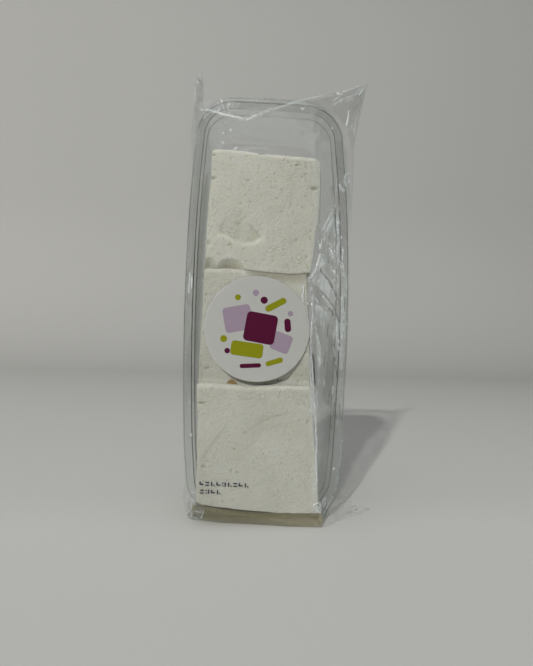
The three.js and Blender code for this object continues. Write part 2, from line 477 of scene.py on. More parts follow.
def tray_ring(off, z_scale=1.0, grow_top=0.0):
    """The rim's outline, off millimetres further in, as [x, z] in the order of SEGMENTS."""
    a = np.array([TRAY_W / 2 - R_SIDE, 0.0])
    b = np.array([0.0, TRAY_H / 2 - R_END])
    ra, rb = R_SIDE - R_CORNER, R_END - R_CORNER
    d = b - a
    D = math.hypot(*d)
    x = (D * D + ra * ra - rb * rb) / (2 * D)
    h = math.sqrt(ra * ra - x * x)
    u = d / D
    v = np.array([-u[1], u[0]])
    c1, c2 = a + u * x + v * h, a + u * x - v * h
    c = c1 if c1.sum() > c2.sum() else c2
    ta = math.atan2(*(c - a)[::-1])
    tb = math.atan2(*(c - b)[::-1])
    r_corner = max(R_CORNER - off, 0.4)

    def arc(centre, r, t0, t1, n):
        t = t0 + (t1 - t0) * np.arange(n) / n
        return centre + r * np.stack([np.cos(t), np.sin(t)], 1)

    fx, fz = np.array([-1, 1]), np.array([1, -1])
    parts = {
        "R": arc(a, R_SIDE - off, -ta, ta, dict(SEGMENTS)["R"]),
        "TR": arc(c, r_corner, ta, tb, dict(SEGMENTS)["TR"]),
        "T": arc(b, R_END - off, tb, math.pi - tb, dict(SEGMENTS)["T"]),
        "TL": arc(c * fx, r_corner, math.pi - tb, math.pi - ta, dict(SEGMENTS)["TL"]),
        "L": arc(a * fx, R_SIDE - off, math.pi - ta, math.pi + ta, dict(SEGMENTS)["L"]),
        "BL": arc(-c, r_corner, math.pi + ta, math.pi + tb, dict(SEGMENTS)["BL"]),
        "B": arc(b * fz, R_END - off, math.pi + tb, 2 * math.pi - tb, dict(SEGMENTS)["B"]),
        "BR": arc(c * fz, r_corner, 2 * math.pi - tb, 2 * math.pi - ta, dict(SEGMENTS)["BR"]),
    }
    p = np.concatenate([parts[n] for n, _ in SEGMENTS])
    p[:, 1] += TRAY_H / 2
    # the long sides are not quite arcs
    z = p[:, 1]
    bend_l = np.interp(z, [10, 36, 57, 89, 121, 153, 184], [-0.1, -0.3, 0.0, 0.25, 0.3, 0.1, 0.0])
    bend_r = np.interp(z, [10, 31, 62, 94, 126, 158, 184], [0.2, 0.4, 0.0, 0.25, 0.4, 0.4, 0.0])
    p[:, 0] += bend_l * smooth(-p[:, 0], 15, 32) + bend_r * smooth(p[:, 0], 15, 32)
    return p


def with_depth(p2, y):
    y = np.full(len(p2), float(y)) if np.isscalar(y) else y
    return np.stack([p2[:, 0], y, p2[:, 1]], 1)


# ------------------------------------------------------------------ marshmallow blocks
BLOCK_N = (174, 28, 174)  # lines across, in depth and up


def even_lines(n, share=0.22):
    """n + 1 places from 0 to 1, closer together near both ends."""
    t = np.linspace(0, 1, n + 1)
    return t - share * np.sin(2 * np.pi * t) / (2 * np.pi)


def along_line(line, depth):
    """A function of 0..1 along a polyline of places in the picture, at a depth of the pack."""
    pts = np.array([at_depth(x, y, depth) for x, y in line])[:, [0, 2]]
    run = np.concatenate([[0], np.cumsum(np.hypot(*(pts[1:] - pts[:-1]).T))])
    run /= run[-1]

    def f(t):
        return np.stack([np.interp(t, run, pts[:, 0]), np.interp(t, run, pts[:, 1])], -1)

    return f


def block(name, outline, front_y, back, back_y, radius, seed, features, grain=1.0, recess=None, tone_and_painted_shade=None, seam_shade=(0.1, 0.1)):
    """A soft block between a front outline and a back quad (TL, TR, BR, BL as [x, z]).
    outline holds the front face's top, bottom, left and right edges as places in the picture,
    features work on the front face, as (kind, place, size, depth) with places in the picture."""
    nx, ny, nz = BLOCK_N
    u, v, w = even_lines(nx), even_lines(ny, 0.5), even_lines(nz)
    ids, coords, faces = {}, [], []

    def vid(i, j, k):
        key = (i, j, k)
        if key not in ids:
            ids[key] = len(coords)
            coords.append((u[i], v[j], w[k]))
        return ids[key]

    def side(fixed, value, na, nb, flip):
        for a in range(na):
            for b in range(nb):
                quad = []
                for da, db in ((0, 0), (1, 0), (1, 1), (0, 1)):
                    ijk = [0, 0, 0]
                    ijk[fixed] = value
                    o1, o2 = [q for q in (0, 1, 2) if q != fixed]
                    ijk[o1], ijk[o2] = a + da, b + db
                    quad.append(vid(*ijk))
                faces.append(tuple(reversed(quad)) if flip else tuple(quad))

    side(1, 0, nx, nz, False)
    side(1, ny, nx, nz, True)
    side(0, 0, ny, nz, True)
    side(0, nx, ny, nz, False)
    side(2, 0, nx, ny, True)
    side(2, nz, nx, ny, False)
    c = np.array(coords)
    top, bottom, left, right = [along_line(q, front_y) for q in outline]
    F = [top(0.0), top(1.0), bottom(1.0), bottom(0.0)]
    B = np.array([[q[0], y, q[1]] for q, y in zip(back, back_y)])
    # round the edges in a box of the true size, then map the box to the two faces
    size = np.array(
        [
            np.linalg.norm(F[1] - F[0]),
            np.linalg.norm([B[0][0] - F[0][0], B[0][1] - front_y, B[0][2] - F[0][1]]),
            np.linalg.norm(F[0] - F[3]),
        ]
    )
    box = c * size
    noise = Noise(seed)
    r_side, r_top, r_bottom = radius
    r = r_side + (r_top - r_side) * smooth(c[:, 2], 0.9, 1.0) + (r_bottom - r_side) * smooth(c[:, 2], 0.1, 0.0)
    r = r * (1 + 0.3 * noise(box / 9.0 + 5))
    r = np.clip(r, 0.35, None)[:, None]
    inner = np.clip(box, r, size - r)
    d = box - inner
    length = np.linalg.norm(d, axis=1, keepdims=True)
    normal = d / np.maximum(length, 1e-9)
    box = np.where(length > 1e-9, inner + normal * r, box)
    t = box / size

    def quad(Q):
        a, b = t[:, :1], t[:, 2:]
        return (Q[3] * (1 - a) + Q[2] * a) * (1 - b) + (Q[0] * (1 - a) + Q[1] * a) * b

    a1, b1 = t[:, :1], t[:, 2:]
    flat_corners = (F[3] * (1 - a1) + F[2] * a1) * (1 - b1) + (F[0] * (1 - a1) + F[1] * a1) * b1
    fp = bottom(t[:, 0]) * (1 - b1) + top(t[:, 0]) * b1 + left(t[:, 2]) * (1 - a1) + right(t[:, 2]) * a1 - flat_corners
    front_p = np.stack([fp[:, 0], np.full(len(fp), front_y), fp[:, 1]], 1)
    if recess is not None:
        front_p[:, 1] += np.interp(front_p[:, 2], recess[0], recess[1])
    p = front_p * (1 - t[:, 1:2]) + quad(B) * t[:, 1:2]
    # slow waves, a soft grain and pores, out along the normal
    base = p.copy()
    move = 0.30 * noise(base / 21.0) + 0.17 * noise.layers(base / 7.0 + 40, 2) - 0.26
    move += grain * 0.085 * noise.layers(base / 1.5 + 90, 3, 0.7)
    push = np.zeros(len(p))
    # pale: painted highlights along the rims, taken off the third mark
    pale = np.zeros(len(p))
    rng = np.random.RandomState(seed + 7)
    # marks: tan with painted warm shade where blocks meet, painted shade, and the colour level with painted shading
    marks = np.zeros((len(p), 3))
    # pores all round, with painted shade in them
    for _ in range(260):
        k = rng.randint(len(p))
        s = rng.uniform(0.3, 0.7)
        depth = rng.uniform(0.15, 0.5) * (1.0 if rng.rand() < 0.3 else 0.45)
        g = np.exp(-((base - base[k]) ** 2).sum(1) / (2 * s * s))
        if normal[k, 1] < -0.7 and rng.rand() < 0.5:
            continue
        move -= depth * g
        marks[:, 1] = np.maximum(marks[:, 1], 0.35 * g * depth / 0.5)
    front_part = smooth(-normal[:, 1], 0.35, 0.9)
    px = pixel(base)
    # small pores in the front face, with painted shade in them
    fronts = np.flatnonzero((front_part > 0.9) & (np.abs(c[:, 0] - 0.5) < 0.47) & (np.abs(c[:, 2] - 0.5) < 0.47))
    for k in rng.choice(fronts, 75, replace=False):
        s = rng.uniform(0.55, 1.0)
        depth = rng.uniform(0.12, 0.42)
        g = np.exp(-((px - px[k]) ** 2).sum(1) / (s * s)) * front_part
        move -= depth * g
        marks[:, 1] = np.maximum(marks[:, 1], 0.9 * depth * g)
    for kind, place, wide, depth in features:
        if kind == "pit":  # a small hole: place, (radius x, radius y) in pixels, with painted shade in it
            q = (px - np.array(place)) / np.array(wide)
            g = np.exp(-(q**2).sum(1) * 0.9) * front_part
            move -= depth * g
            marks[:, 1] = np.maximum(marks[:, 1], np.clip(depth * 0.5, 0, 0.7) * g)
        elif kind == "dent":  # wide and shallow, no shade of its own
            q = (px - np.array(place)) / np.array(wide)
            move -= depth * np.exp(-(q**2).sum(1)) * front_part
        elif kind == "fold":  # a crease along a line, with painted shade in it where it sinks
            dist, along = seg_distance(px, place)
            taper = np.sin(np.pi * np.clip(along, 0.02, 0.98)) ** 0.5
            g = np.exp(-((dist / wide) ** 2)) * taper * front_part
            move -= depth * g
            if depth > 0:
                marks[:, 1] = np.maximum(marks[:, 1], np.clip(depth * 0.5, 0, 0.5) * g)
        elif kind == "step":  # the side of the line to the right of its direction sinks
            dist, along = seg_distance(px, place)
            line = np.asarray(place, float)
            seg = line[-1] - line[0]
            mid = px - line[0]
            sign = np.sign(seg[0] * mid[:, 1] - seg[1] * mid[:, 0])
            g = np.exp(-((dist / wide) ** 2)) * (sign > 0) * front_part
            taper = np.sin(np.pi * np.clip(along, 0.02, 0.98)) ** 0.5
            move -= depth * g * taper
        elif kind == "ledge":  # sinks sharply on the line's right-hand side and rises slowly from there
            reach, sharp = wide
            dist, along = seg_distance(px, place)
            line = np.asarray(place, float)
            side_ = nearest_side(px, line)
            if reach < 0:
                side_, reach = -side_, -reach
            inside = np.where(side_ > 0, np.exp(-((dist / reach) ** 1.6)), 0)
            soft = 1 - np.exp(-((dist / sharp) ** 2))
            taper = np.sin(np.pi * np.clip(along, 0.03, 0.97)) ** 0.6
            move -= depth * inside * soft * taper * front_part
        elif kind == "crescent":  # a dent that deepens towards a steep curved wall at its lower edge
            line, rest = [np.asarray(q, float) for q in place]
            dist, along = seg_distance(px, line)
            inside = area_mask(px, np.vstack([line, rest]), 2.2)
            # away from the wall, even out the distance, so that the dent's bottom has no ridge
            near_ = np.flatnonzero(inside > 1e-3)
            run_ = np.concatenate([[0], np.cumsum(np.hypot(*(line[1:] - line[:-1]).T))]) / np.hypot(*(line[1:] - line[:-1]).T).sum()
            at_ = np.linspace(0, 1, 60)
            beads_ = np.column_stack([np.interp(at_, run_, line[:, 0]), np.interp(at_, run_, line[:, 1])])
            d_ = np.hypot(px[near_, :1] - beads_[:, 0], px[near_, 1:] - beads_[:, 1])
            w_ = np.exp(-(d_ - d_.min(1, keepdims=True)) / 3.5)
            w_ /= w_.sum(1, keepdims=True)
            even = smooth(dist[near_], 3.5, 8.0)
            ends_ = np.minimum(along[near_], 1 - along[near_])
            along[near_] = along[near_] * (1 - even) + (w_ * at_).sum(1) * even
            dist[near_] = dist[near_] * (1 - even) + ((w_ * d_).sum(1) - 1.75) * even
            inside *= 1 - smooth(dist, 1.0, 4.0) * (1 - area_mask(px, np.vstack([line, rest]), 8.0))
            inside[near_] *= 0.25 + 0.75 * smooth(ends_, 0.0, 0.12)
            deepest = np.interp(along, [0, 0.18, 0.4, 0.62, 0.8, 0.92, 1.0], [0.7, 1.7, 2.7, 3.1, 3.5, 2.3, 1.0])
            reach = np.interp(along, [0, 0.4, 0.7, 1.0], [12, 26, 19, 12])
            wall = np.interp(along, [0, 0.5, 1], [3.4, 4.4, 5.4])
            fall = np.clip(1 - (dist - wall) / reach, 0, 1)
            move -= depth * deepest * smooth(dist / wall, 0.04, 1.04) * (0.75 * fall + 0.25 * fall * fall) * inside * front_part
        elif kind == "chamfer":  # the edge on the far side of the line slopes back, more and more, with painted shade growing the same way
            line, far = [np.asarray(q, float) for q in place]
            shade_amount, wide_ = wide
            dist, along = seg_distance(px, line)
            inside = area_mask(px, np.vstack([line, far]), 1.9)
            push += depth * np.clip(dist / wide_, 0, 1.15) ** 1.15 * inside
            marks[:, 1] = np.maximum(marks[:, 1], shade_amount * np.clip(dist / wide_, 0, 1) ** 0.7 * inside)
        elif kind == "crease":  # a fine soft dark line: painted shade over a shallow groove
            dist, along = seg_distance(px, place)
            taper = np.sin(np.pi * np.clip(along, 0.02, 0.98)) ** 0.5
            g = np.exp(-((dist / wide) ** 2)) * taper * front_part
            move -= depth[1] * g
            marks[:, 1] = np.maximum(marks[:, 1], depth[0] * g)
        elif kind == "rim":  # a paler band along a line: painted light, mostly highlights on edges that catch the light
            dist, along = seg_distance(px, place)
            fade = np.interp(along, np.linspace(0, 1, len(wide[1])), wide[1])
            pale += depth * np.exp(-((dist / wide[0]) ** 2)) * fade * (0.75 + 0.35 * noise(base / 2.2 + 300))
        elif kind == "grain":  # rougher patch, with painted shade in its deepest crumbs
            q = (px - np.array(place)) / np.array(wide)
            g = np.exp(-(q**2).sum(1)) * front_part
            likely = g[fronts]
            if likely.sum() > 0:
                count = int(min(420, 0.55 * wide[0] * wide[1]))
                picks = rng.choice(fronts, count, p=likely / likely.sum())
                near = np.flatnonzero(g > 0.02)
                crumbs = np.zeros(len(near))
                for k in picks:
                    s = rng.uniform(0.42, 0.85)
                    high = rng.uniform(0.25, 1.0) * (1.0 if rng.rand() < 0.42 else -1.0)
                    bump_ = np.exp(-((px[near] - px[k]) ** 2).sum(1) / (s * s))
                    crumbs += high * bump_
                    if high < -0.6:
                        marks[near, 1] = np.maximum(marks[near, 1], 0.9 * depth * bump_)
                move[near] += 0.6 * depth * np.clip(crumbs, -1.3, 1.0)
        elif kind == "spot":  # a sharp tan patch
            marks[:, 0] = np.maximum(marks[:, 0], depth * area_mask(px, np.asarray(place[0], float), place[1]))
        elif kind == "tan":
            q = (px - np.array(place)) / np.array(wide)
            marks[:, 0] = np.maximum(marks[:, 0], depth * np.exp(-(q**2).sum(1)) * front_part)
    # painted warm shade on the faces that meet the next block
    gap = np.clip(np.abs(normal[:, 2]) * (length[:, 0] > 1e-9) + (np.abs(c[:, 2] - 0.5) > 0.499), 0, 1)
    marks[:, 0] = np.maximum(marks[:, 0], np.where(c[:, 2] > 0.5, seam_shade[1], seam_shade[0]) * smooth(gap, 0.45, 0.95))
    # the block's colour level with painted shading that slopes across and up the face, less under the painted
    # highlights
    if tone_and_painted_shade is not None:
        tx, ty, txy, base_tone = tone_and_painted_shade
        ax_, az_ = t[:, 0] - 0.5, t[:, 2] - 0.5
        marks[:, 2] = np.clip(base_tone + tx * ax_ + ty * az_ + txy * ax_ * az_ - pale, 0, 1)
    # out along the normal: on flat faces the box's axes
    flat = np.zeros_like(normal)
    ax = np.abs(c - 0.5).argmax(1)
    flat[np.arange(len(c)), ax] = np.sign(c[np.arange(len(c)), ax] - 0.5)
    n = np.where(length > 1e-9, normal, flat)
    n /= np.maximum(np.linalg.norm(n, axis=1, keepdims=True), 1e-9)
    p = p + n * move[:, None]
    p[:, 1] += push * (1 - np.clip((p[:, 1] - front_y) / 9.0, 0, 1))
    over = np.maximum(-13.74 - p[:, 1], 0)
    p[:, 1] = np.where(over > 0, -13.74 - 0.2 * np.tanh(over / 0.2), p[:, 1])
    o = make(name, p, faces, MALLOW_M, attribute=marks)
    return o


def pits(*rows):
    return [("pit", (x, y), (rx, ry), d) for x, y, rx, ry, d in rows]


TOP_FEATURES = pits(
    (213.4, 154.2, 2.2, 1.0, 0.9),
    (213, 177.2, 3.4, 1.1, 1.2),
    (223, 169.2, 1.1, 0.8, 0.6),
    (314.6, 187.8, 3.6, 1.6, 1.5),
    (229.8, 188.9, 2.2, 0.7, 0.4),
    (230.8, 157.4, 0.9, 0.9, 0.6),
    (247.6, 179.5, 1.2, 1.0, 0.8),
    (242.2, 172, 0.9, 0.8, 0.5),
    (214.6, 168.6, 0.9, 0.7, 0.4),
    (259, 164.7, 1.0, 0.8, 0.45),
    (266.9, 177.5, 0.9, 0.8, 0.5),
    (274.7, 173.5, 1.1, 0.8, 0.5),
    (275.7, 181.2, 0.9, 0.8, 0.45),
    (270.8, 187.3, 1.2, 0.8, 0.5),
    (276.7, 197.8, 1.2, 0.9, 0.6),
    (264.9, 198.8, 0.8, 0.7, 0.4),
    (240.4, 202.9, 1.6, 0.7, 0.45),
    (246.1, 194.2, 0.7, 0.6, 0.35),
    (234.3, 210, 1.1, 0.8, 0.55),
    (290.5, 204.1, 1.0, 0.9, 0.6),
    (288.5, 208, 0.9, 0.9, 0.5),
    (279.7, 229.7, 0.9, 0.8, 0.4),
    (273.8, 234.7, 1.0, 0.8, 0.45),
    (310.2, 230.7, 0.9, 1.2, 0.5),
    (310.0, 236.6, 0.9, 1.2, 0.5),
    (208.7, 224.8, 1.2, 0.8, 0.5),
    (292.5, 240.6, 0.9, 0.8, 0.4),
    (305.3, 173.5, 1.6, 0.9, 0.7),
    (302, 176.5, 1.2, 0.8, 0.5),
    (297.4, 164.7, 2.4, 0.9, 0.8),
    (289, 162, 1.0, 0.8, 0.45),
    (317, 161, 1.6, 1.2, 0.6),
    (229.5, 244.2, 2.2, 1.2, 0.75),
    (262, 203, 0.8, 0.6, 0.35),
    (217, 203, 0.8, 0.7, 0.4),
    (244, 217.5, 1.6, 1.0, 0.35),
    (237, 216.5, 1.4, 1.0, 0.3),
    (251.5, 227, 1.5, 1.4, 0.35),
    (257, 231, 1.4, 1.2, 0.3),
) + [
    # the large dent: a slope that deepens to the lower right and ends in a curved wall
    (
        "crescent",
        (
            [(216, 233.6), (222, 235.0), (228, 237.4), (234, 240.6), (240, 243.8), (246, 245.2), (252, 244.4), (258, 242.4), (263, 239.2), (265.8, 235.8)],
            [(265.2, 231), (262.8, 226.2), (259.4, 222), (255.5, 218.5), (249, 215.5), (243, 212.5), (236, 211.5), (228, 214.5), (220, 219.5), (215, 228)],
        ),
        0,
        1.12,
    ),
    # painted highlight along the dent's lower wall
    ("rim", [(219, 234.6), (224, 235.6), (231, 238.4), (237, 241.4), (243, 243.2), (250, 242.8), (257, 241), (263, 238)], (2.1, (0.8, 1.0, 1.3, 1.4, 1.3, 1.1, 0.8)), 0.6),
    # lobes worn off the lower left edge, with painted shade on their slopes
    (
        "chamfer",
        (
            [(203.0, 257), (206, 255.8), (209, 255.8), (212.6, 256.6), (215.2, 259.4), (217.4, 262), (218.9, 261), (221.2, 258.8), (226.4, 257.0), (231.4, 257.2), (236.7, 258.6), (240.5, 260.6), (243.4, 263.4), (246.4, 268)],
            [(248, 284), (197, 284), (197, 258)],
        ),
        (0.36, 7.5),
        3.6,
    ),
    # painted highlight along the lit top edge
    ("rim", [(211, 151.4), (218.5, 150.4), (232.4, 150.8), (246, 152.4), (257, 153.9), (266, 155.0), (283.7, 156.6), (303.4, 158), (318, 159.4)], (1.9, (0.9, 1.0, 0.8, 0.5, 0.9, 1.2, 1.1)), 0.42),
    ("grain", (293, 172), (26, 17), 0.42),
    ("grain", (300, 215), (20, 34), 0.16),
    ("grain", (262, 190), (48, 44), 0.10),
    ("grain", (290, 260), (26, 10), 0.55),
    ("grain", (225, 205), (26, 40), 0.10),
    ("grain", (228, 260), (20, 6), 0.20),
    ("dent", (300, 245), (14, 22), 0.3),
    ("dent", (207.4, 242.6), (3.2, 2.6), 0.8),
    ("pit", (207.6, 242.6), (3.0, 2.2), 0.4),
]
MID_FEATURES = pits(
    (298, 381, 1.3, 1.0, 0.6),
    (213, 305.5, 1.0, 0.8, 0.4),
    (292, 377, 0.8, 0.7, 0.3),
    (204, 287, 0.8, 0.7, 0.35),
    (300, 362, 0.9, 2.0, 0.3),
) + [
    # the upper edge right of its corner is worn and slopes back under the block above, with painted shade under it
    (
        "chamfer",
        (
            [(240.8, 266.6), (243, 270.2), (246, 274.2), (250, 277.6), (258, 280.4), (270, 282.6), (282, 284.2), (296, 284.6), (308, 282.0)],
            [(312, 262), (240, 258)],
        ),
        (0.7, 8.0),
        0.6,
    ),
    # painted highlight along the lit top edge left of the worn part
    ("rim", [(203, 269.4), (215, 268.8), (227, 268.8), (236, 269.4), (241, 270.2), (244, 272.5)], (2.4, (1.0, 1.0, 1.0, 0.9, 0.6)), 0.75),
    ("grain", (222, 282), (26, 14), 0.36),
    ("grain", (212, 310), (16, 50), 0.16),
    ("dent", (210, 366), (14, 14), 0.4),
    # painted light in the label's shadow above the bottom block
    ("rim", [(244, 384), (258, 384), (270, 383)], (4.0, (0.7, 1.2, 0.8)), 0.5),
    # a tan crumb in the gap
    ("spot", ([(223.4, 386.5), (226.0, 382.6), (228.2, 379.8), (231.0, 378.4), (234.0, 379.8), (237.2, 383.6), (238.6, 386.5)], 0.9), 0, 1.0),
]
LOW_FEATURES = pits(
    (200, 402.5, 5.5, 0.9, 1.2),
    (234, 449, 1.2, 1.0, 0.8),
    (203, 466.5, 1.5, 1.1, 0.8),
    (196, 467, 1.2, 0.8, 0.5),
    (231, 470.5, 1.4, 1.2, 0.8),
    (237, 472.5, 1.3, 1.0, 0.7),
    (274, 496, 1.2, 0.9, 0.6),
    (229, 435.5, 1.0, 0.9, 0.5),
    (229, 442, 1.2, 0.6, 0.4),
    (203, 414, 0.8, 0.7, 0.4),
    (254, 388.5, 1.4, 0.8, 0.6),
    (212, 388, 2.0, 1.0, 0.5),
    (298, 456, 1.2, 0.6, 0.4),
    (293, 478, 1.2, 1.2, 0.5),
    (246, 424, 1.6, 0.7, 0.4),
    (206, 433, 0.7, 0.6, 0.3),
    (219, 404, 0.7, 0.6, 0.3),
) + [
    # fine folds: shallow grooves with painted shade along them
    ("crease", [(199, 463), (204, 455.5), (210, 445.5), (216, 437), (222, 430), (229, 424.5)], 1.0, (0.42, 0.05)),
    ("crease", [(201, 461), (207, 451.5), (213, 443), (220, 434), (228, 427)], 2.6, (0.14, 0.05)),
    # painted highlight along the lit top edge
    ("rim", [(196, 385.4), (206, 385.0), (220.8, 386.0), (235, 387.2), (249.3, 388.2), (256, 388.2), (265, 387.7), (277.9, 387.3), (295, 387.3), (310.5, 387.2)], (2.1, (1.2, 1.1, 1.0, 0.9, 0.9, 1.0, 1.1, 1.2)), 0.9),
    ("crease", [(247, 431.5), (254, 425.6), (262, 421), (270, 417.4), (280, 414), (292, 410.6)], 1.5, (0.36, 0.06)),
    ("crease", [(250, 428), (258, 422.6), (268, 417.6), (280, 413)], 4.0, (0.16, 0.1)),
    ("crease", [(248, 435), (262, 430), (280, 428)], 7.0, (0.10, 0.2)),
    ("fold", [(298, 474), (304, 482), (308, 492), (310, 502)], 1.2, 0.25),
    ("fold", [(252, 486), (262, 483.5), (272, 480)], 1.6, 0.12),
    ("grain", (285, 445), (24, 34), 0.30),
    ("grain", (300, 410), (18, 14), 0.34),
    ("grain", (270, 440), (40, 40), 0.12),
    ("grain", (215, 400), (24, 12), 0.20),
    ("grain", (215, 480), (20, 22), 0.18),
    ("fold", [(272, 430), (286, 426), (296, 428)], 0.9, 0.12),
    ("fold", [(276, 440), (288, 436), (300, 439)], 0.9, 0.12),
    ("fold", [(270, 452), (284, 448), (296, 451)], 0.9, 0.12),
    ("fold", [(278, 462), (290, 459)], 0.9, 0.12),
    ("dent", (225, 462), (26, 16), 0.35),
    ("dent", (262, 440), (20, 20), 0.3),
]

FRONT_Y = -13.75
LOW_OUTLINE = (
    [(195.9, 382.6), (200, 381.7), (206, 381.5), (220.8, 382.2), (235, 383.2), (249.3, 384.7), (256, 384.8), (265, 384.4), (277.9, 384.2), (295, 384.2), (310.5, 384.2)],
    [(194.6, 500.5), (196.6, 503.2), (200.4, 504.9), (220.8, 508.6), (240, 511.0), (261.6, 512.8), (282, 514.2), (300, 514.8), (319.2, 514.4)],
    [(194.6, 500.5), (194.7, 494), (195.3, 465.7), (196.3, 420.8), (195.9, 382.6)],
    [(319.2, 514.4), (317.3, 480), (315.5, 450), (313.5, 420), (311.7, 400), (310.5, 384.2)],
)
MID_OUTLINE = (
    [(202.9, 268.0), (207, 267.2), (215, 266.9), (227, 267.0), (236, 267.6), (241, 268.1), (246, 268.2), (256, 268.6), (270, 269.6), (290, 270.6), (307.3, 270.6)],
    [(196.4, 388.2), (230, 388.2), (270, 388.6), (311.6, 388.4)],
    [(196.4, 388.2), (197.3, 365), (199.2, 338), (201.0, 310), (202.0, 290), (202.9, 268.0)],
    [(311.6, 388.4), (310.6, 365), (309.2, 328), (308.2, 300), (307.3, 270.6)],
)
TOP_OUTLINE = (
    [(211, 150.6), (213, 148.6), (218.5, 147.8), (232.4, 148.2), (246, 149.6), (257, 151.2), (259.6, 153.4), (262.5, 153.0), (266, 152.2), (283.7, 154.0), (303.4, 155.4), (311, 156.4), (315.4, 157.4), (318.4, 159.4), (319.8, 162.2)],
    [(202.8, 268.0), (219.5, 268.2), (232, 268.8), (244, 269.6), (256, 271.0), (268, 272.4), (287.6, 274.0), (300, 273.6), (310.4, 272.8)],
    [(202.8, 268.0), (203.7, 258.4), (205.3, 228.8), (206.7, 209), (209.1, 179.5), (211, 150.6)],
    [(310.4, 272.8), (312.2, 268), (314.0, 256.4), (316.4, 234.7), (319.0, 219), (320.2, 199.2), (320.9, 179.5), (320.8, 169), (319.8, 162.2)],
)
mallow_low = block(
    "marshmallow_bottom",
    LOW_OUTLINE,
    FRONT_Y,
    [(-30.9, 64.6), (24.0, 64.6), (25.4, 10.6), (-30.6, 10.9)],
    [28.8] * 4,
    (0.9, 1.2, 1.0),
    11,
    LOW_FEATURES,
    tone_and_painted_shade=(-0.04, -0.22, 0.36, 0.61),
    seam_shade=(0.1, 0.05),
)
mallow_mid = block(
    "marshmallow_middle",
    MID_OUTLINE,
    FRONT_Y,
    [(-30.4, 119.9), (22.6, 119.6), (24.2, 64.7), (-30.6, 64.7)],
    [28.9] * 4,
    (0.9, 1.1, 0.8),
    23,
    MID_FEATURES,
    recess=([62.0, 64.6, 66.0, 67.6, 69.3, 71.1, 75.0, 79.5, 83.0], [2.2, 2.6, 3.3, 4.2, 3.6, 2.8, 1.4, 0.35, 0.0]),
    tone_and_painted_shade=(-0.05, -0.10, -0.06, 0.42),
    seam_shade=(0.12, 0.10),
)
mallow_top = block(
    "marshmallow_top",
    TOP_OUTLINE,
    FRONT_Y,
    [(-29.9, 175.2), (23.6, 174.6), (22.8, 119.8), (-30.4, 120.2)],
    [28.9] * 4,
    (1.2, 0.9, 0.8),
    37,
    TOP_FEATURES,
    grain=1.15,
    tone_and_painted_shade=(0.24, -0.03, 0.05, 0.28),
    seam_shade=(0.28, 0.0),
)

# ------------------------------------------------------------------ the clear tray
# profile from the lip to the tray's floor: inset, depth, painted highlight, painted dark line
TRAY_PROFILE = [
    # inset, depth, painted highlight, painted dark line, which of the three moulded lines
    (0.12, 1.30, 0.0, 0.06, 0),
    (0.00, 0.80, 0.0, 0.50, 0),
    (0.06, 0.28, 0.0, 0.60, 0),
    (0.24, 0.05, 0.0, 0.30, 0),
    (0.38, 0.00, 0.05, 0.03, 0),
    (0.75, 0.00, 0.04, 0.02, 0),
    (1.60, 0.03, 0.0, 0.03, 0),
    (3.00, 0.03, 0.0, 0.03, 0),
    (3.70, 0.05, 0.04, 0.02, 1),
    (3.90, 0.10, 0.0, 0.35, 1),
    (4.05, 0.22, 0.0, 0.75, 1),
    (4.20, 0.45, 0.0, 0.55, 1),
    (4.30, 0.80, 0.0, 0.06, 1),
    (4.40, 1.60, 0.04, 0.02, 1),
    (4.70, 3.95, 0.05, 0.02, 1),
    (4.98, 4.38, 0.03, 0.04, 2),
    (5.28, 4.54, 0.0, 0.30, 2),
    (5.46, 4.70, 0.0, 0.70, 2),
    (5.58, 5.00, 0.0, 0.45, 2),
    (5.68, 5.60, 0.0, 0.05, 2),
    (5.80, 6.40, 0.02, 0.02, 2),
    (6.60, 12.0, 0.0, 0.02, 2),
    (7.40, 18.0, 0.0, 0.02, 2),
    (8.20, 24.0, 0.0, 0.02, 2),
    (8.70, 27.3, 0.0, 0.02, 2),
    (9.10, 28.7, 0.0, 0.03, 2),
    (9.60, 29.25, 0.0, 0.06, 2),
    (10.4, 29.46, 0.0, 0.04, 2),
    (11.6, 29.48, 0.0, 0.01, 2),
]


def around_ring(values):
    """A value for each point of a ring, eased from segment to segment."""
    out = np.concatenate([np.full(n, values[k]) for k, n in SEGMENTS]).astype(float)
    k = 35
    return np.convolve(np.concatenate([out[-k:], out, out[:k]]), np.ones(2 * k + 1) / (2 * k + 1), "valid")


# how strongly each moulded line's painted dark line shows around the rim
SHOW = [
    around_ring({"R": 0.95, "TR": 0.95, "T": 0.8, "TL": 0.95, "L": 1.15, "BL": 0.6, "B": 0.06, "BR": 0.4}),
    around_ring({"R": 0.95, "TR": 0.45, "T": 0.22, "TL": 0.85, "L": 1.35, "BL": 0.6, "B": 0.05, "BR": 0.4}),
    around_ring({"R": 0.55, "TR": 0.3, "T": 0.15, "TL": 0.55, "L": 1.15, "BL": 0.6, "B": 0.05, "BR": 0.3}),
]
# painted highlights along the rim, strongest on the right, and painted shade at its lip
RIM_HIGHLIGHT = around_ring({"R": 1.3, "TR": 0.4, "T": 0.2, "TL": 0.6, "L": 0.2, "BL": 0.4, "B": 0.08, "BR": 0.8})
RIM_SHADE = around_ring({"R": 0.0, "TR": 0.03, "T": 0.07, "TL": 0.05, "L": 0.05, "BL": 0.03, "B": 0.0, "BR": 0.0})
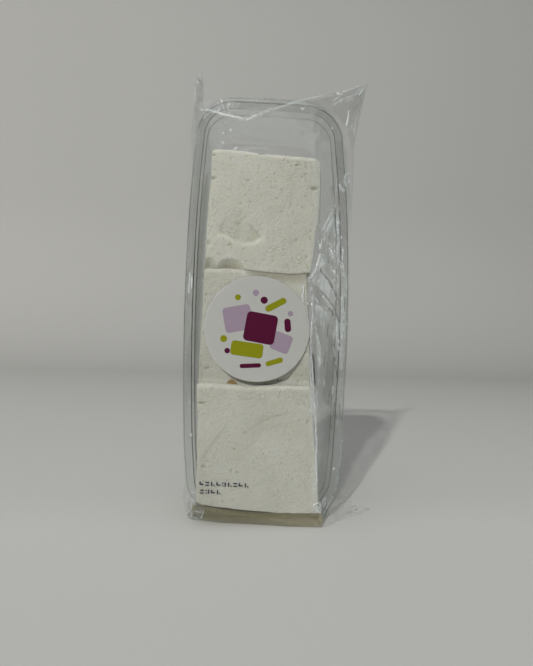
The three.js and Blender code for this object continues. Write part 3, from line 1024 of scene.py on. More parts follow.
# high on the right side the painted highlights give way to painted shade
upper = smooth(tray_ring(0.0)[:, 1], 112, 130) * (np.arange(N_RING) < dict(SEGMENTS)["R"])
RIM_HIGHLIGHT = RIM_HIGHLIGHT * (1 - 0.85 * upper)
RIM_SHADE = RIM_SHADE + 0.05 * upper
ring_xz = tray_ring(0.0)
upper_left = smooth(ring_xz[:, 1], 120, 172) * (ring_xz[:, 0] < 0) * smooth(208 - ring_xz[:, 1], 0, 12)
SHOW = [show * (1 - fade * upper_left) for show, fade in zip(SHOW, (0.15, 0.38, 0.3))]
rings, marks = [], []
for off, y, pale, dark, which in TRAY_PROFILE:
    rings.append(with_depth(tray_ring(off), y))
    marks.append(np.stack([pale * RIM_HIGHLIGHT, dark * SHOW[which] + (RIM_SHADE if which == 0 or y < 0.2 else 0)], 1))
last = rings[-1]
centre = np.array([0, last[0, 1], TRAY_H / 2])
for s in (0.9, 0.75, 0.55, 0.35, 0.15):
    r = centre + (last - centre) * [s, 1, 1 - (1 - s) * 0.35]
    r[:, 0] = last[:, 0] * s
    r[:, 2] = TRAY_H / 2 + (last[:, 2] - TRAY_H / 2) * s
    rings.append(r)
    marks.append(np.zeros((N_RING, 2)))
verts = np.concatenate(rings)
faces = loft_faces(len(rings), N_RING)
faces.append(tuple((len(rings) - 1) * N_RING + i for i in range(N_RING)))
wave = Noise(5)
verts[:, 1] += 0.12 * wave(verts / 26.0) * smooth(verts[:, 1], 3, 10)
tray = make("clear_tray", verts, faces, TRAY_M, attribute=np.concatenate(marks), margin=0.1)
solid = tray.modifiers.new("sheet", "SOLIDIFY")
solid.thickness = 0.00035
solid.offset = -1.0

# ------------------------------------------------------------------ the film
FLOOR_LINE = [(-36.1, 0.0), (-34.4, -3.2), (-20.0, -7.9), (-4.5, -9.9), (11.2, -12.9), (27.5, -14.4)]
# the film's line over the blocks' edges, as places in the picture
HOLD = {
    "R": [(319.9, 508), (318.4, 480), (316.6, 450), (314.9, 420), (313.2, 400), (312.0, 386), (311.0, 360), (310.2, 328), (309.2, 300), (308.9, 281), (311.6, 272), (314.8, 256), (317.8, 236), (320.6, 219), (321.6, 199), (322.0, 179), (321.8, 168)],
    "TR": [(321.8, 168), (321.4, 163.6), (320.0, 161.0), (316, 159.4)],
    "T": [(316, 159.4), (303, 158.0), (283, 156.4), (264, 154.6), (246, 152.4), (232, 150.8), (219, 150.0)],
    "TL": [(219, 150.0), (213, 150.0), (210.6, 151.4), (209.8, 157)],
    "L": [(209.8, 157), (208.3, 179), (206.0, 209), (204.5, 229), (202.9, 258), (201.9, 269), (200.2, 310), (196.5, 365), (195.0, 385), (195.4, 421), (194.4, 466), (193.7, 494)],
    "BL": [(193.7, 494), (193.8, 500), (196.2, 503.8), (200.4, 505.8)],
    "B": [(200.4, 505.8), (221, 509.4), (240, 511.8), (262, 513.6), (282, 515.0), (300, 515.6), (316, 515.6)],
    "BR": [(316, 515.6), (319, 515.2), (320.2, 513.4), (319.9, 508)],
}
K1 = []
for name_, count in SEGMENTS:
    K1.append(along_line(HOLD[name_], -14.0)(np.arange(count) / count))
K1 = np.concatenate(K1)
for _ in range(4):  # ease the kinks
    K1 = 0.25 * np.roll(K1, 1, 0) + 0.5 * K1 + 0.25 * np.roll(K1, -1, 0)
fr = tray_ring(-0.35)
K2 = with_depth(fr, -0.12)
# loose over the top edge
lift = smooth(K2[:, 2], TRAY_H - 16, TRAY_H)
K2[:, 2] += 0.3 * lift
# the lower right corner comes forward to the front corner of the foot
n_br = dict(SEGMENTS)["BR"]
s = smooth(np.arange(n_br)[::-1] / n_br, 0.05, 1.0)[:, None]
corner_front = np.array([27.6, -14.2, 0.2])
K2[SL_OF["BR"]] = K2[SL_OF["BR"]] * (1 - s) + corner_front * s
n_b = dict(SEGMENTS)["B"]
xb = np.linspace(-36.0, 27.6, n_b + 1)[:-1]
yb = np.interp(xb, [p[0] for p in FLOOR_LINE], [p[1] for p in FLOOR_LINE])
K2[SL_OF["B"]] = np.stack([xb, yb, np.full(n_b, 0.0)], 1)
K2[SL_OF["B"], 2] += yb * SL / CL + 0.12
n_bl = dict(SEGMENTS)["BL"]
tb_ = np.arange(n_bl) / n_bl
start = K2[SL_OF["BL"]][0].copy()
zbl = start[2] * (1 - tb_)
K2[SL_OF["BL"]] = np.stack(
    [
        np.interp(zbl, [0, 1.8, 9.4, start[2]], [-36.0, -36.6, -38.6, start[0]]),
        np.full(n_bl, -0.1),
        zbl + 0.05,
    ],
    1,
)
K3 = with_depth(fr, 1.35)
K3[:, 2] += 2.0 * lift
K4 = with_depth(tray_ring(2.6), 11.0)
K4[:, 0] += 7.2 * smooth(K4[:, 2], 104, 166) * smooth(K4[:, 0], 24, 37)
K4[:, 2] += 1.0 * smooth(K4[:, 2], 190, 205)
K5 = with_depth(tray_ring(9.2), 29.3)
K6 = with_depth(tray_ring(10.4), 30.05)
for K, yy in ((K3, 1.35), (K4, 11.0)):
    low = smooth(K[:, 2], 8, 0)
    K[:, 2] = K[:, 2] * (1 - low) + (yy * SL / CL + 0.1) * low
n_t = N_RING


def between(a, b, k, first=True):
    """k rows from ring a on towards ring b."""
    t = np.arange(k) / k if first else np.arange(1, k + 1) / k
    return [a * (1 - q) + b * q for q in t]


cen = np.array([-3.2, 0, 91.0])
front_rows = []
for s_ in (0.04, 0.3, 0.55, 0.72, 0.80, 0.84, 0.862, 0.88, 0.893, 0.905, 0.916, 0.927, 0.938, 0.949, 0.96, 0.971):
    p2 = np.array([cen[0], cen[2]]) + (K1 - [cen[0], cen[2]]) * s_
    front_rows.append(with_depth(p2, -14.05))


def inset_ring(k1, dist):
    c = k1 - np.array([cen[0], cen[2]])
    out = k1.copy()
    out[:, 0] -= dist * np.sign(c[:, 0]) * smooth(np.abs(c[:, 0]), 10, 22)
    out[:, 1] -= dist * np.sign(c[:, 1]) * smooth(np.abs(c[:, 1]), 60, 80)
    return out


edge_rows = [
    with_depth(inset_ring(K1, 0.9), -14.02),
    with_depth(inset_ring(K1, 0.35), -13.9),
    with_depth(K1, -13.55),
]
slant = between(edge_rows[-1], K2, 58)[1:]
rim = between(K2, K3, 2)
back1 = between(K3, K4, 5)
back2 = between(K4, K5, 7)
back3 = between(K5, K6, 1)
back_rows = [K6]
cb = np.array([0, 30.1, TRAY_H / 2])
for s_ in (0.85, 0.6, 0.3, 0.04):
    r = cb + (K6 - cb) * [s_, 0, s_]
    back_rows.append(r)
film_rows = front_rows + edge_rows + slant + rim + back1 + back2 + back3 + back_rows
zone = (
    ["front"] * len(front_rows)
    + ["edge"] * len(edge_rows)
    + ["slant"] * len(slant)
    + ["rim"] * len(rim)
    + ["side"] * (len(back1) + len(back2) + len(back3))
    + ["back"] * len(back_rows)
)
V = np.concatenate(film_rows)
zone_of = np.repeat(np.array(zone), N_RING)
row_of = np.repeat(np.arange(len(film_rows)), N_RING)
film_faces = loft_faces(len(film_rows), N_RING)
film_faces.insert(0, tuple(reversed(range(N_RING))))
film_faces.append(tuple((len(film_rows) - 1) * N_RING + i for i in range(N_RING)))


def vertex_normals(v, rows, n):
    """Normals of a lofted ring mesh, pointing outward from the pack."""
    g = v.reshape(rows, n, 3)
    du = np.roll(g, -1, 1) - np.roll(g, 1, 1)
    dr = np.zeros_like(g)
    dr[1:-1] = g[2:] - g[:-2]
    dr[0], dr[-1] = g[1] - g[0], g[-1] - g[-2]
    nn = np.cross(dr, du)
    nn /= np.maximum(np.linalg.norm(nn, axis=2, keepdims=True), 1e-9)
    mid = np.array([0, 8.0, 100.0])
    flip = ((g - mid) * nn).sum(2, keepdims=True) < 0
    return np.where(flip, -nn, nn).reshape(-1, 3)


NV = vertex_normals(V, len(film_rows), N_RING)
film_noise = Noise(71)
crinkle = Noise(72)
# loose places: 0 where the film is held by a block's or the rim's edge, 1 between them
slack = np.zeros(len(V))
first = len(front_rows) + len(edge_rows)
for k in range(len(slant)):
    slack[(first + k) * N_RING : (first + k + 1) * N_RING] = math.sin(math.pi * (k + 1) / (len(slant) + 1))
first += len(slant) + len(rim)
side_rows = len(back1) + len(back2) + len(back3)
for k in range(side_rows):
    slack[(first + k) * N_RING : (first + k + 1) * N_RING] = math.sin(math.pi * (k + 0.5) / side_rows)


# the folded lower end is drawn tight
slack *= 1 - 0.92 * smooth(V[:, 2], 17, 9)


def ridged(p, scale):
    return 1 - 2 * np.abs(crinkle(p / scale))


stretch = V / np.array([1.0, 1.0, 2.6])
creases = 0.34 * ridged(stretch, 11.0) + 0.18 * ridged(stretch + 31, 5.0)
push = slack * (0.5 * film_noise(V / 24.0) + creases * 0.8)
push[zone_of == "front"] += 0.05 * film_noise(V[zone_of == "front"] / 14.0)
push[zone_of == "back"] += 0.25 * film_noise(V[zone_of == "back"] / 22.0) * 1.0 - 0.1

# Creases and shine lines of the film's front, by their places in the picture: (kind, points, half width, strength,
# height in mm); kinds: b a painted highlight, d a painted dark line; B and D paint the same over areas.
LINES = [
    # areas: painted highlights where facets would catch the light, and painted shade where the film lies darker
    ("B", [(330.7, 211.8), (332.2, 212.8), (323.3, 231.1), (321.0, 229.7)], 1.0, 0.36, 0.2),
    ("B", [(332.7, 216.2), (326.7, 224.7), (323.8, 232.1), (325.3, 233.8), (328.2, 231.6), (332.7, 224.7), (334.4, 218.2)], 1.0, 0.30, 0.2),
    ("B", [(318.8, 252), (321.8, 257.5), (324.3, 262.4), (322.8, 267.4), (319.8, 267.4), (311.8, 277.3), (307.9, 278.3), (316.3, 265.4)], 1.2, 0.30, 0.2),
    ("B", [(311.8, 278.3), (318.8, 268.4), (324.8, 275.3), (331.7, 287.2), (333.2, 297.2), (329.7, 303.1), (322.8, 294.2), (312.8, 283.3)], 2.4, 0.17, 0.2),
    ("D", [(319.8, 233.6), (329.7, 233.6), (333.7, 249.5), (333.7, 279.3), (327.7, 275.3), (322.8, 267.4), (324.8, 259.4), (320.8, 253.5)], 3.0, 0.10, 0.0),
    ("D", [(313.8, 285.3), (319.8, 292.2), (324.8, 299.2), (331.7, 309.1), (334.7, 317), (334.7, 329), (313.8, 329)], 3.0, 0.12, 0.0),
    ("B", [(314.8, 303.1), (319.8, 305.1), (327.7, 312.1), (328.7, 319), (319.8, 317), (315.8, 310.1)], 2.0, 0.16, 0.2),
    ("B", [(341.1, 284.3), (344.6, 289.2), (344.8, 336), (340.6, 338), (340.1, 304.1)], 2.6, 0.17, 0.1),
    ("D", [(315, 328), (334, 328), (333.4, 400), (331, 446), (318, 450), (316, 390)], 12.0, 0.16, 0.0),
    ("B", [(317, 430), (332, 430), (330, 508), (318, 504)], 7.0, 0.035, 0.0),
    ("B", [(338, 236), (345.6, 236), (345.6, 288), (338, 288)], 3.6, 0.05, 0.0),
    ("B", [(338.4, 322), (345, 322), (344.8, 345), (343.4, 362), (339.4, 362), (339, 340)], 1.6, 0.10, 0.0),
    ("B", [(313.8, 160), (321.5, 162), (321.5, 200), (320.5, 225), (316.6, 250), (312, 272), (309, 272), (313.8, 240), (314.8, 200)], 4.0, 0.10, 0.0),
    ("D", [(314.8, 160), (321.5, 162), (321.5, 200), (320.5, 225), (316.6, 250), (312, 272), (310, 272), (314.8, 240), (315.8, 200)], 4.0, 0.04, 0.0),
    ("D", [(203.6, 186), (207.4, 172), (207.4, 190), (206.4, 210), (204.6, 232), (202.6, 262), (200.6, 300), (198, 345), (195.6, 385), (194.4, 400), (192.6, 400), (193.4, 340), (196.4, 262), (199.4, 210)], 4.5, 0.27, 0.0),
    # crease over the top of the tray
    ("b", [(199, 107.5), (205, 109.5), (212, 111.5), (220, 113.8), (230, 116), (237, 117.4), (246.5, 119)], 1.0, 0.50, 0.45),
    ("b", [(206, 109.5), (216, 112), (226, 115), (240, 117.8)], 0.5, 0.75, 0.2),
    ("b", [(208, 108.4), (217, 111.4), (224, 112.2)], 0.5, 0.35, 0.1),
    ("b", [(246, 119.2), (251, 117.4), (258, 115.2)], 0.8, 0.5, 0.1),
    ("b", [(246.5, 119), (255, 116.5), (264, 113), (272, 109.5), (285, 105), (296, 101.6), (308, 98.8), (320, 96.5)], 1.2, 0.20, 0.35),
    ("b", [(250, 116.4), (258, 112.8), (268, 109.6), (274, 106.4)], 0.6, 0.26, 0.2),
    ("B", [(217, 100.5), (238, 101.5), (238, 109.6), (222, 111.5), (213, 109)], 2.0, 0.07, 0.0),
    ("b", [(209, 104.5), (213.5, 99), (219.5, 96.6), (230, 96.8), (245, 97.4), (262, 97.2), (276, 99)], 0.45, 0.2, 0.1),
    ("b", [(262, 113.5), (266, 110.5), (273, 107.5)], 1.6, 0.12, 0.0),
    ("b", [(248, 115), (262, 113), (274, 108)], 0.8, 0.14, 0.1),
    ("b", [(203, 108.2), (206.5, 109.8)], 0.8, 0.5, 0.2),
    ("b", [(219.3, 97), (220.5, 100)], 0.45, 0.8, 0.2),
    ("b", [(220.6, 99.6), (221.6, 100.6)], 0.6, 0.9, 0.2),
    ("b", [(221.5, 102.5), (222.6, 106), (224, 110)], 0.4, 0.35, 0.2),
    ("b", [(216.6, 111), (219.4, 108.8)], 0.6, 0.7, 0.2),
    ("b", [(213, 110.5), (214, 111)], 0.6, 0.4, 0.1),
    ("b", [(228.6, 104), (228.4, 104.4)], 0.7, 0.6, 0.1),
    ("b", [(228.8, 111.5), (228.8, 115.5)], 0.6, 0.5, 0.1),
    ("b", [(227, 109.5), (228, 104.5)], 0.35, 0.25, 0.1),
    ("b", [(208, 113), (205, 115.5), (203.2, 118)], 0.4, 0.3, 0.1),
    ("b", [(206.5, 112.2), (203.5, 115)], 0.35, 0.2, 0.1),
    ("b", [(239.5, 102), (237.2, 107.5)], 0.4, 0.2, 0.1),
    ("b", [(228, 109.5), (250, 108.6), (270, 106.3)], 0.4, 0.13, 0.1),
    ("b", [(245, 100.7), (262, 97.6), (284, 97)], 0.6, 0.12, 0.1),
    ("d", [(229, 131), (255, 137.5), (282, 144.5)], 0.8, 0.08, 0.1),
    ("d", [(232, 137), (255, 139.5), (276, 142)], 1.2, 0.07, 0.1),
    ("b", [(240, 150), (250, 148), (262, 147.5), (274, 151)], 0.8, 0.10, 0.1),
    ("b", [(222.5, 132.4), (222.6, 132.6)], 0.6, 0.55, 0.1),
    ("b", [(230, 129.6), (230.2, 129.8)], 0.7, 0.55, 0.1),
    ("b", [(243.5, 127.8), (243.6, 128)], 0.5, 0.35, 0.1),
    ("b", [(222.5, 142), (222.7, 142.2)], 0.6, 0.55, 0.1),
    ("b", [(234, 148.6), (236, 147.2)], 0.5, 0.8, 0.1),
    ("b", [(225, 121.8), (225.1, 122)], 0.6, 0.2, 0.1),
    # upper right
    ("b", [(300.3, 108.3), (303.6, 108.3)], 0.55, 0.95, 0.0),
    ("b", [(292.5, 106.9), (292.7, 107)], 0.5, 0.3, 0.0),
    ("b", [(331.4, 127), (331.8, 128.5)], 0.5, 0.4, 0.0),
    ("b", [(317, 130.4), (317.2, 130.6)], 0.5, 0.22, 0.0),
    ("b", [(311, 112.5), (316, 114)], 0.6, 0.12, 0.0),
    ("d", [(322, 131), (317, 141), (314.5, 158)], 1.6, 0.05, 0.0),
    # right side, from the top down
    ("b", [(338.5, 183.6), (339.8, 186.6), (341.5, 188.4), (344, 190)], 0.7, 1.2, 0.3),
    ("b", [(336, 178), (335.4, 190), (334.4, 197), (333, 204), (332, 208)], 0.5, 0.25, 0.2),
    ("b", [(335.4, 200.5), (335.2, 205)], 0.5, 0.6, 0.2),
    ("b", [(328.4, 205), (330, 208.5)], 0.5, 0.2, 0.1),
    ("b", [(332.2, 211.5), (327, 221), (321.2, 231.5)], 0.5, 0.6, 0.4),
    ("b", [(330.6, 212.2), (325.5, 221), (320.8, 229.5)], 0.5, 0.25, 0.1),
    ("b", [(334.4, 216), (329.5, 224), (324.6, 233)], 0.4, 0.45, 0.3),
    ("b", [(334.6, 221.5), (331, 227.5), (326.2, 233.4)], 0.45, 0.45, 0.2),
    ("b", [(334, 219.5), (330.4, 225.5), (326.0, 232)], 1.2, 0.16, 0.1),
    ("b", [(334.4, 214), (337, 215.4), (338, 219)], 0.5, 0.25, 0.1),
    ("b", [(338.3, 221), (337.6, 223.4), (336.6, 225.8)], 0.85, 1.0, 0.3),
    ("b", [(337.6, 228.6), (336.8, 232.6)], 0.9, 1.0, 0.2),
    ("b", [(334, 226.5), (333.6, 232.6)], 0.8, 0.7, 0.2),
    ("b", [(334.4, 233), (336, 238), (337, 244), (336.4, 252)], 0.8, 0.62, 0.3),
    ("b", [(336.6, 252), (337.4, 258), (337, 262)], 0.7, 0.45, 0.2),
    ("b", [(338.6, 238.6), (337.6, 243), (338, 248)], 0.5, 0.4, 0.2),
    ("d", [(334.5, 205), (334.9, 214), (335, 222), (335.9, 233), (335.4, 246)], 0.55, 0.3, -0.2),
    ("d", [(331.5, 228), (331, 236), (333.5, 243)], 1.4, 0.14, 0.0),
    ("b", [(322.4, 238.6), (322.6, 240)], 0.5, 0.35, 0.1),
    ("b", [(352.5, 222.8), (352.6, 223)], 0.5, 0.3, 0.1),
    ("b", [(340, 235.8), (341, 236.4)], 0.5, 0.3, 0.1),
    ("b", [(350.6, 263.3), (350.7, 263.6)], 0.65, 0.7, 0.1),
    # the V fold beside the gap between the upper blocks
    ("b", [(319, 252.5), (318, 258), (316.5, 265), (314, 271), (311, 276), (308.4, 280)], 0.65, 0.6, 0.6),
    ("b", [(319, 252.5), (320.6, 256.5), (322.3, 258.6)], 0.6, 0.4, 0.3),
    ("b", [(322, 261), (321.6, 264.5), (321.6, 268)], 1.5, 0.5, 0.1),
    ("b", [(313, 275), (317, 277), (318, 283)], 2.6, 0.20, 0.2),
    ("b", [(317.5, 280.5), (319.5, 283.5)], 1.6, 0.28, 0.2),
    ("b", [(326.8, 286), (326.6, 296)], 2.0, 0.20, 0.2),
    ("b", [(331.6, 279), (334, 281), (335, 276)], 0.9, 0.35, 0.2),
    ("b", [(332.6, 284), (332.6, 297)], 1.8, 0.12, 0.0),
    ("d", [(318.8, 266), (321, 272), (325, 276.5), (329, 281), (332, 286.5), (335, 293), (338.4, 300), (339, 304)], 0.5, 0.42, -0.3),
    ("d", [(312, 283.4), (317, 287), (322, 292), (328, 299), (332.5, 305), (335.6, 312), (338, 320), (339.4, 325)], 0.45, 0.36, -0.3),
    ("b", [(311, 277.8), (313, 279.6), (311, 281), (308.8, 280.2), (309.4, 278.4)], 0.45, 0.4, 0.2),
    ("d", [(310.9, 279.3), (311.2, 279.6)], 0.6, 0.35, -0.1),
    ("b", [(322, 295.6), (325.5, 300), (329, 305)], 0.75, 0.5, 0.3),
    ("b", [(327, 302), (329, 306), (331.6, 309)], 0.8, 0.45, 0.2),
    ("d", [(318, 298), (322.5, 304), (326, 309)], 2.4, 0.20, 0.0),
    ("d", [(328, 307), (331.5, 311), (333, 317)], 1.3, 0.30, 0.0),
    ("b", [(303.4, 284.5), (303, 291), (302.4, 297.5), (302.8, 302)], 0.5, 0.8, 0.3),
    ("b", [(303, 291.5), (302.4, 296), (302.8, 301.5)], 0.6, 1.3, 0.1),
    ("b", [(303, 300), (304.6, 303.6)], 0.5, 0.4, 0.1),
    ("b", [(310, 286.5), (310.2, 291.5)], 0.8, 0.5, 0.2),
    ("b", [(307.6, 290), (307.9, 304)], 0.5, 0.22, 0.2),
    ("b", [(307.6, 301), (307.8, 304)], 0.6, 0.4, 0.1),
    ("b", [(311.6, 294), (311.8, 302)], 0.7, 0.6, 0.2),
    ("b", [(314, 295), (315, 299), (317.4, 304.6)], 0.5, 0.35, 0.2),
    ("b", [(316, 305.4), (318, 306.5), (320.6, 309.8), (317.4, 310)], 1.1, 0.42, 0.2),
    ("b", [(325.5, 310), (327.6, 315)], 1.1, 0.2, 0.1),
    ("b", [(330.4, 315.5), (331.2, 319)], 0.8, 0.25, 0.1),
    ("b", [(311.7, 300), (312, 315), (310.9, 330), (310.2, 345), (310.5, 352)], 0.55, 0.45, 0.4),
    ("b", [(308.6, 310), (309.6, 330), (309.2, 350)], 0.6, 0.14, 0.1),
    ("b", [(313.6, 312), (315, 326), (317, 338), (318.6, 346), (319.6, 353)], 0.8, 0.32, 0.3),
    ("d", [(314.4, 312), (314.6, 324)], 0.6, 0.22, 0.0),
    ("d", [(328.6, 330), (331.6, 340), (331.6, 350)], 2.2, 0.2, 0.0),
    ("b", [(319.4, 352), (319.7, 357), (319.2, 362), (318.8, 366)], 0.7, 0.5, 0.3),
    ("b", [(317, 350), (318, 362), (318, 376), (317.6, 386)], 1.3, 0.16, 0.1),
    # the long crease down the blocks' right edge
    ("b", [(310.4, 350), (311.3, 363), (312.2, 376), (313, 388), (314, 402), (314.8, 416), (315.4, 430), (315.8, 442), (315.6, 454), (315.8, 470), (316.6, 488)], 0.6, 0.85, 0.30),
    ("b", [(309.4, 362), (310.2, 380), (311.0, 400), (311.6, 416)], 0.7, 0.34, 0.2),
    ("b", [(315.2, 386), (316.0, 398), (316.4, 410)], 0.5, 0.28, 0.2),
    ("d", [(313.1, 353), (313.6, 366), (314.2, 378), (314.8, 385)], 0.6, 0.5, -0.1),
    ("b", [(316.6, 388), (317.4, 400), (317.6, 410)], 1.0, 0.10, 0.1),
    ("b", [(313.6, 395), (314.4, 420), (314.8, 450), (314.8, 480), (315.6, 505)], 2.6, 0.16, 0.1),
    ("b", [(312.6, 505.2), (316, 503), (319.2, 501.6)], 0.6, 0.55, 0.2),
    ("b", [(312.6, 505.2), (316, 509), (319.8, 513.2)], 0.6, 0.5, 0.2),
    ("b", [(319.2, 501.6), (319.6, 507), (320, 513)], 0.6, 0.5, 0.2),
    ("b", [(317.4, 505), (318, 509)], 1.4, 0.35, 0.0),
    ("b", [(325, 496), (322.6, 499.6), (320.8, 505), (320.6, 511)], 0.45, 0.35, 0.3),
    ("b", [(325.4, 496.6), (324.4, 502), (322.2, 508)], 0.45, 0.32, 0.3),
    ("b", [(331, 498.4), (327.4, 503.6), (325, 509)], 0.45, 0.32, 0.3),
    ("b", [(333, 468), (333.1, 468.2)], 0.8, 0.95, 0.1),
    ("b", [(331, 496.5), (331.1, 496.7)], 0.75, 0.6, 0.1),
    # a loop of slack beside the rim and the clutter of small folds below it
    ("b", [(346.6, 165.5), (346.4, 168.2)], 0.5, 0.6, 0.1),
    ("b", [(346.5, 170.6), (344.8, 175.5), (343.8, 179.6), (345, 184), (345.6, 186.4)], 0.55, 1.0, 0.2),
    ("b", [(346.8, 171), (348.8, 176), (348.5, 181), (346.6, 183.8), (345.2, 186)], 0.6, 1.05, 0.2),
    ("b", [(348, 181.6), (346.4, 184)], 0.7, 0.9, 0.1),
    ("b", [(334.9, 204), (334.2, 210), (335.4, 214)], 0.6, 0.55, 0.2),
    ("b", [(332.4, 206), (331.6, 211)], 0.45, 0.45, 0.1),
    ("b", [(336.2, 213), (337.6, 217), (336.2, 220)], 0.5, 0.5, 0.2),
    ("b", [(333.2, 228), (334.6, 235), (334.8, 243), (336.4, 248)], 0.6, 0.45, 0.2),
    ("b", [(337.8, 233), (336.2, 238), (338.6, 243), (337.2, 250), (336.2, 256)], 0.55, 0.6, 0.2),
    ("B", [(333.6, 214), (338.4, 218), (339, 236), (338.6, 262), (335.2, 262), (334.4, 240), (333, 226)], 1.4, 0.14, 0.0),
    ("b", [(329, 203), (330.6, 206), (333.8, 208.4)], 0.4, 0.3, 0.1),
    ("D", [(329, 333), (333.4, 341), (333, 360), (331, 380), (329.5, 405), (325, 404.6), (322, 393), (325, 370), (327.5, 345)], 1.4, 0.17, 0.0),
    ("B", [(315.2, 331), (317.4, 336), (320.4, 352), (320.6, 360), (319, 368), (316.6, 360), (315.4, 345)], 1.0, 0.16, 0.1),
    ("b", [(315.2, 332), (317.6, 340), (320.2, 350), (321, 357), (319.6, 365)], 0.5, 0.5, 0.2),
    ("b", [(309.4, 352), (309.8, 368), (311.4, 386), (312.6, 402), (313.2, 420)], 0.45, 0.4, 0.2),
    ("d", [(312.2, 352), (313.2, 366), (314.0, 378), (314.6, 386)], 0.7, 0.6, 0.0),
    ("B", [(313, 306), (318, 304), (327, 312), (325, 325), (320, 326), (316, 318)], 2.4, 0.12, 0.0),
    ("b", [(340.6, 300), (341, 318), (340.8, 336)], 0.5, 0.4, 0.1),
    ("b", [(342.6, 330), (343, 345), (342.2, 356)], 0.8, 0.3, 0.1),
    ("b", [(335.4, 330), (336.8, 342), (338.4, 350)], 0.9, 0.5, 0.1),
    ("b", [(339.4, 346), (341.6, 352), (341.4, 362), (340, 369)], 0.6, 0.5, 0.1),
    # shine along the right flange
    ("b", [(341, 260.5), (341.6, 265), (342, 269.6)], 0.55, 0.7, 0.1),
    ("b", [(342, 269), (343.4, 276), (344.8, 284), (345.2, 291)], 0.6, 0.25, 0.2),
    ("b", [(341.6, 296), (341.7, 304), (341.4, 313)], 0.9, 0.75, 0.1),
    ("b", [(342.6, 295), (343.2, 310), (343.2, 325), (343.2, 337)], 1.3, 0.30, 0.1),
    ("b", [(344.6, 293), (344.4, 310), (344.6, 325), (344.4, 338)], 0.5, 0.35, 0.1),
    ("b", [(345.4, 323.4), (345.5, 323.6)], 0.6, 0.6, 0.1),
    ("b", [(337.2, 261), (336.6, 266)], 0.6, 0.45, 0.1),
    ("b", [(336.2, 272), (336.2, 292)], 1.0, 0.25, 0.1),
    ("b", [(336, 317), (336.2, 327), (337, 336), (337.8, 345)], 1.1, 0.45, 0.1),
    ("b", [(333.6, 333), (333.8, 334.6)], 0.7, 0.4, 0.1),
    ("b", [(339.6, 349), (340, 356), (340.2, 363), (340.6, 369)], 0.7, 0.45, 0.1),
    ("b", [(341.8, 358), (342, 362)], 0.6, 0.35, 0.1),
    ("b", [(341.6, 432), (340.4, 450), (338.4, 468), (336.2, 484), (334, 493)], 1.0, 0.20, 0.0),
    # left
    ("b", [(189.6, 270), (189.2, 278), (188.6, 286), (188.2, 293)], 0.5, 0.6, 0.1),
    ("b", [(191.7, 275), (191.4, 282), (191.2, 289)], 0.5, 0.65, 0.1),
    ("b", [(189.4, 401), (189.5, 402.4)], 0.5, 0.4, 0.0),
    ("b", [(191, 434), (191.2, 434.6)], 0.6, 0.5, 0.0),
    ("b", [(192.6, 491.4), (193.6, 492.4)], 0.6, 0.3, 0.0),
    ("b", [(187.6, 240), (186.5, 262)], 0.5, 0.10, 0.0),
]
# finer streaks that run down the crumpled side with it: painted highlights and painted dark lines
streak = np.random.RandomState(77)
for k in range(46):
    y0 = streak.uniform(196, 420)
    side_x = np.interp(y0, [196, 260, 300, 360, 420], [328, 327, 330, 329, 327])
    x0 = side_x + streak.uniform(-8.5, 15.0)
    run_y = streak.uniform(5, 20)
    lean = streak.uniform(-0.12, 0.16) + (0.55 if 262 < y0 < 310 and x0 < 332 else 0.0)
    mid_x = x0 + lean * run_y * 0.5 + streak.uniform(-0.5, 0.5)
    LINES.append(
        (
            "b" if streak.rand() < 0.68 else "d",
            [(x0, y0), (mid_x, y0 + run_y * 0.5), (x0 + lean * run_y, y0 + run_y)],
            streak.uniform(0.35, 0.6),
            streak.uniform(0.16, 0.52),
            0.05,
        )
    )


uneven = Noise(404)


def line_marks(points, lines, visible):
    """Painted highlights (pale marks), painted dark lines and shade (dark marks) and a push along the normal from the
    lines of a list.
    """
    px = pixel(points)
    marks = np.zeros((len(points), 2))
    rise = np.zeros(len(points))
    idx = np.where(visible)[0]
    q = px[idx]
    for kind, line, width, strength, height in lines:
        line = np.asarray(line, float)
        lo, hi = line.min(0) - 6, line.max(0) + 6
        near = (q > lo).all(1) & (q < hi).all(1)
        if not near.any():
            continue
        sub = idx[near]
        if kind in "BD":  # an area with its own tone
            g = area_mask(q[near], line, width)
            ch = 0 if kind == "B" else 1
            if kind == "B" and width < 3.5:
                cells = np.column_stack([q[near] / [2.6, 13.0], np.full(int(near.sum()), line[0, 1] * 0.21)])
                g = g * np.clip(1.0 + 1.5 * uneven(cells), 0.15, 1.9)
            marks[sub, ch] += strength * g * (1.7 if kind == "B" else 1.0)
            rise[sub] += height * g
            continue
        where_ = np.column_stack([q[near] / 5.0, np.full(int(near.sum()), line[0, 0] * 0.37)])
        wander = np.column_stack([uneven(where_), uneven(where_ + 40.0)])
        dist, along = seg_distance(q[near] + 0.45 * wander, line)
        long = np.hypot(*(line[-1] - line[0])) > 3
        taper = np.clip(np.sin(np.pi * along) * 3.0, 0, 1) if long else 1.0
        g = np.exp(-((dist / (width * 1.15)) ** 2)) * (0.35 + 0.65 * taper)
        if long:
            g = g * np.clip(0.82 + 0.75 * uneven(where_ * 1.3 + 80.0), 0.25, 1.25)
        if kind == "b":
            marks[sub, 0] = np.maximum(marks[sub, 0], np.clip(strength * 1.8 * g, 0, 1))
        else:
            marks[sub, 1] = np.maximum(marks[sub, 1], strength * g)
        rise[sub] += height * np.exp(-((dist / (width * 1.5)) ** 2)) * taper
    return marks, rise


seen = (NV @ np.array([0, -1, 0]) > -0.15) & (row_of < len(film_rows) - len(back_rows))
# only the parts of the film nearest the eye: in front of depth 6
seen &= V[:, 1] < 6.0
film_marks, rise = line_marks(V, LINES, seen)
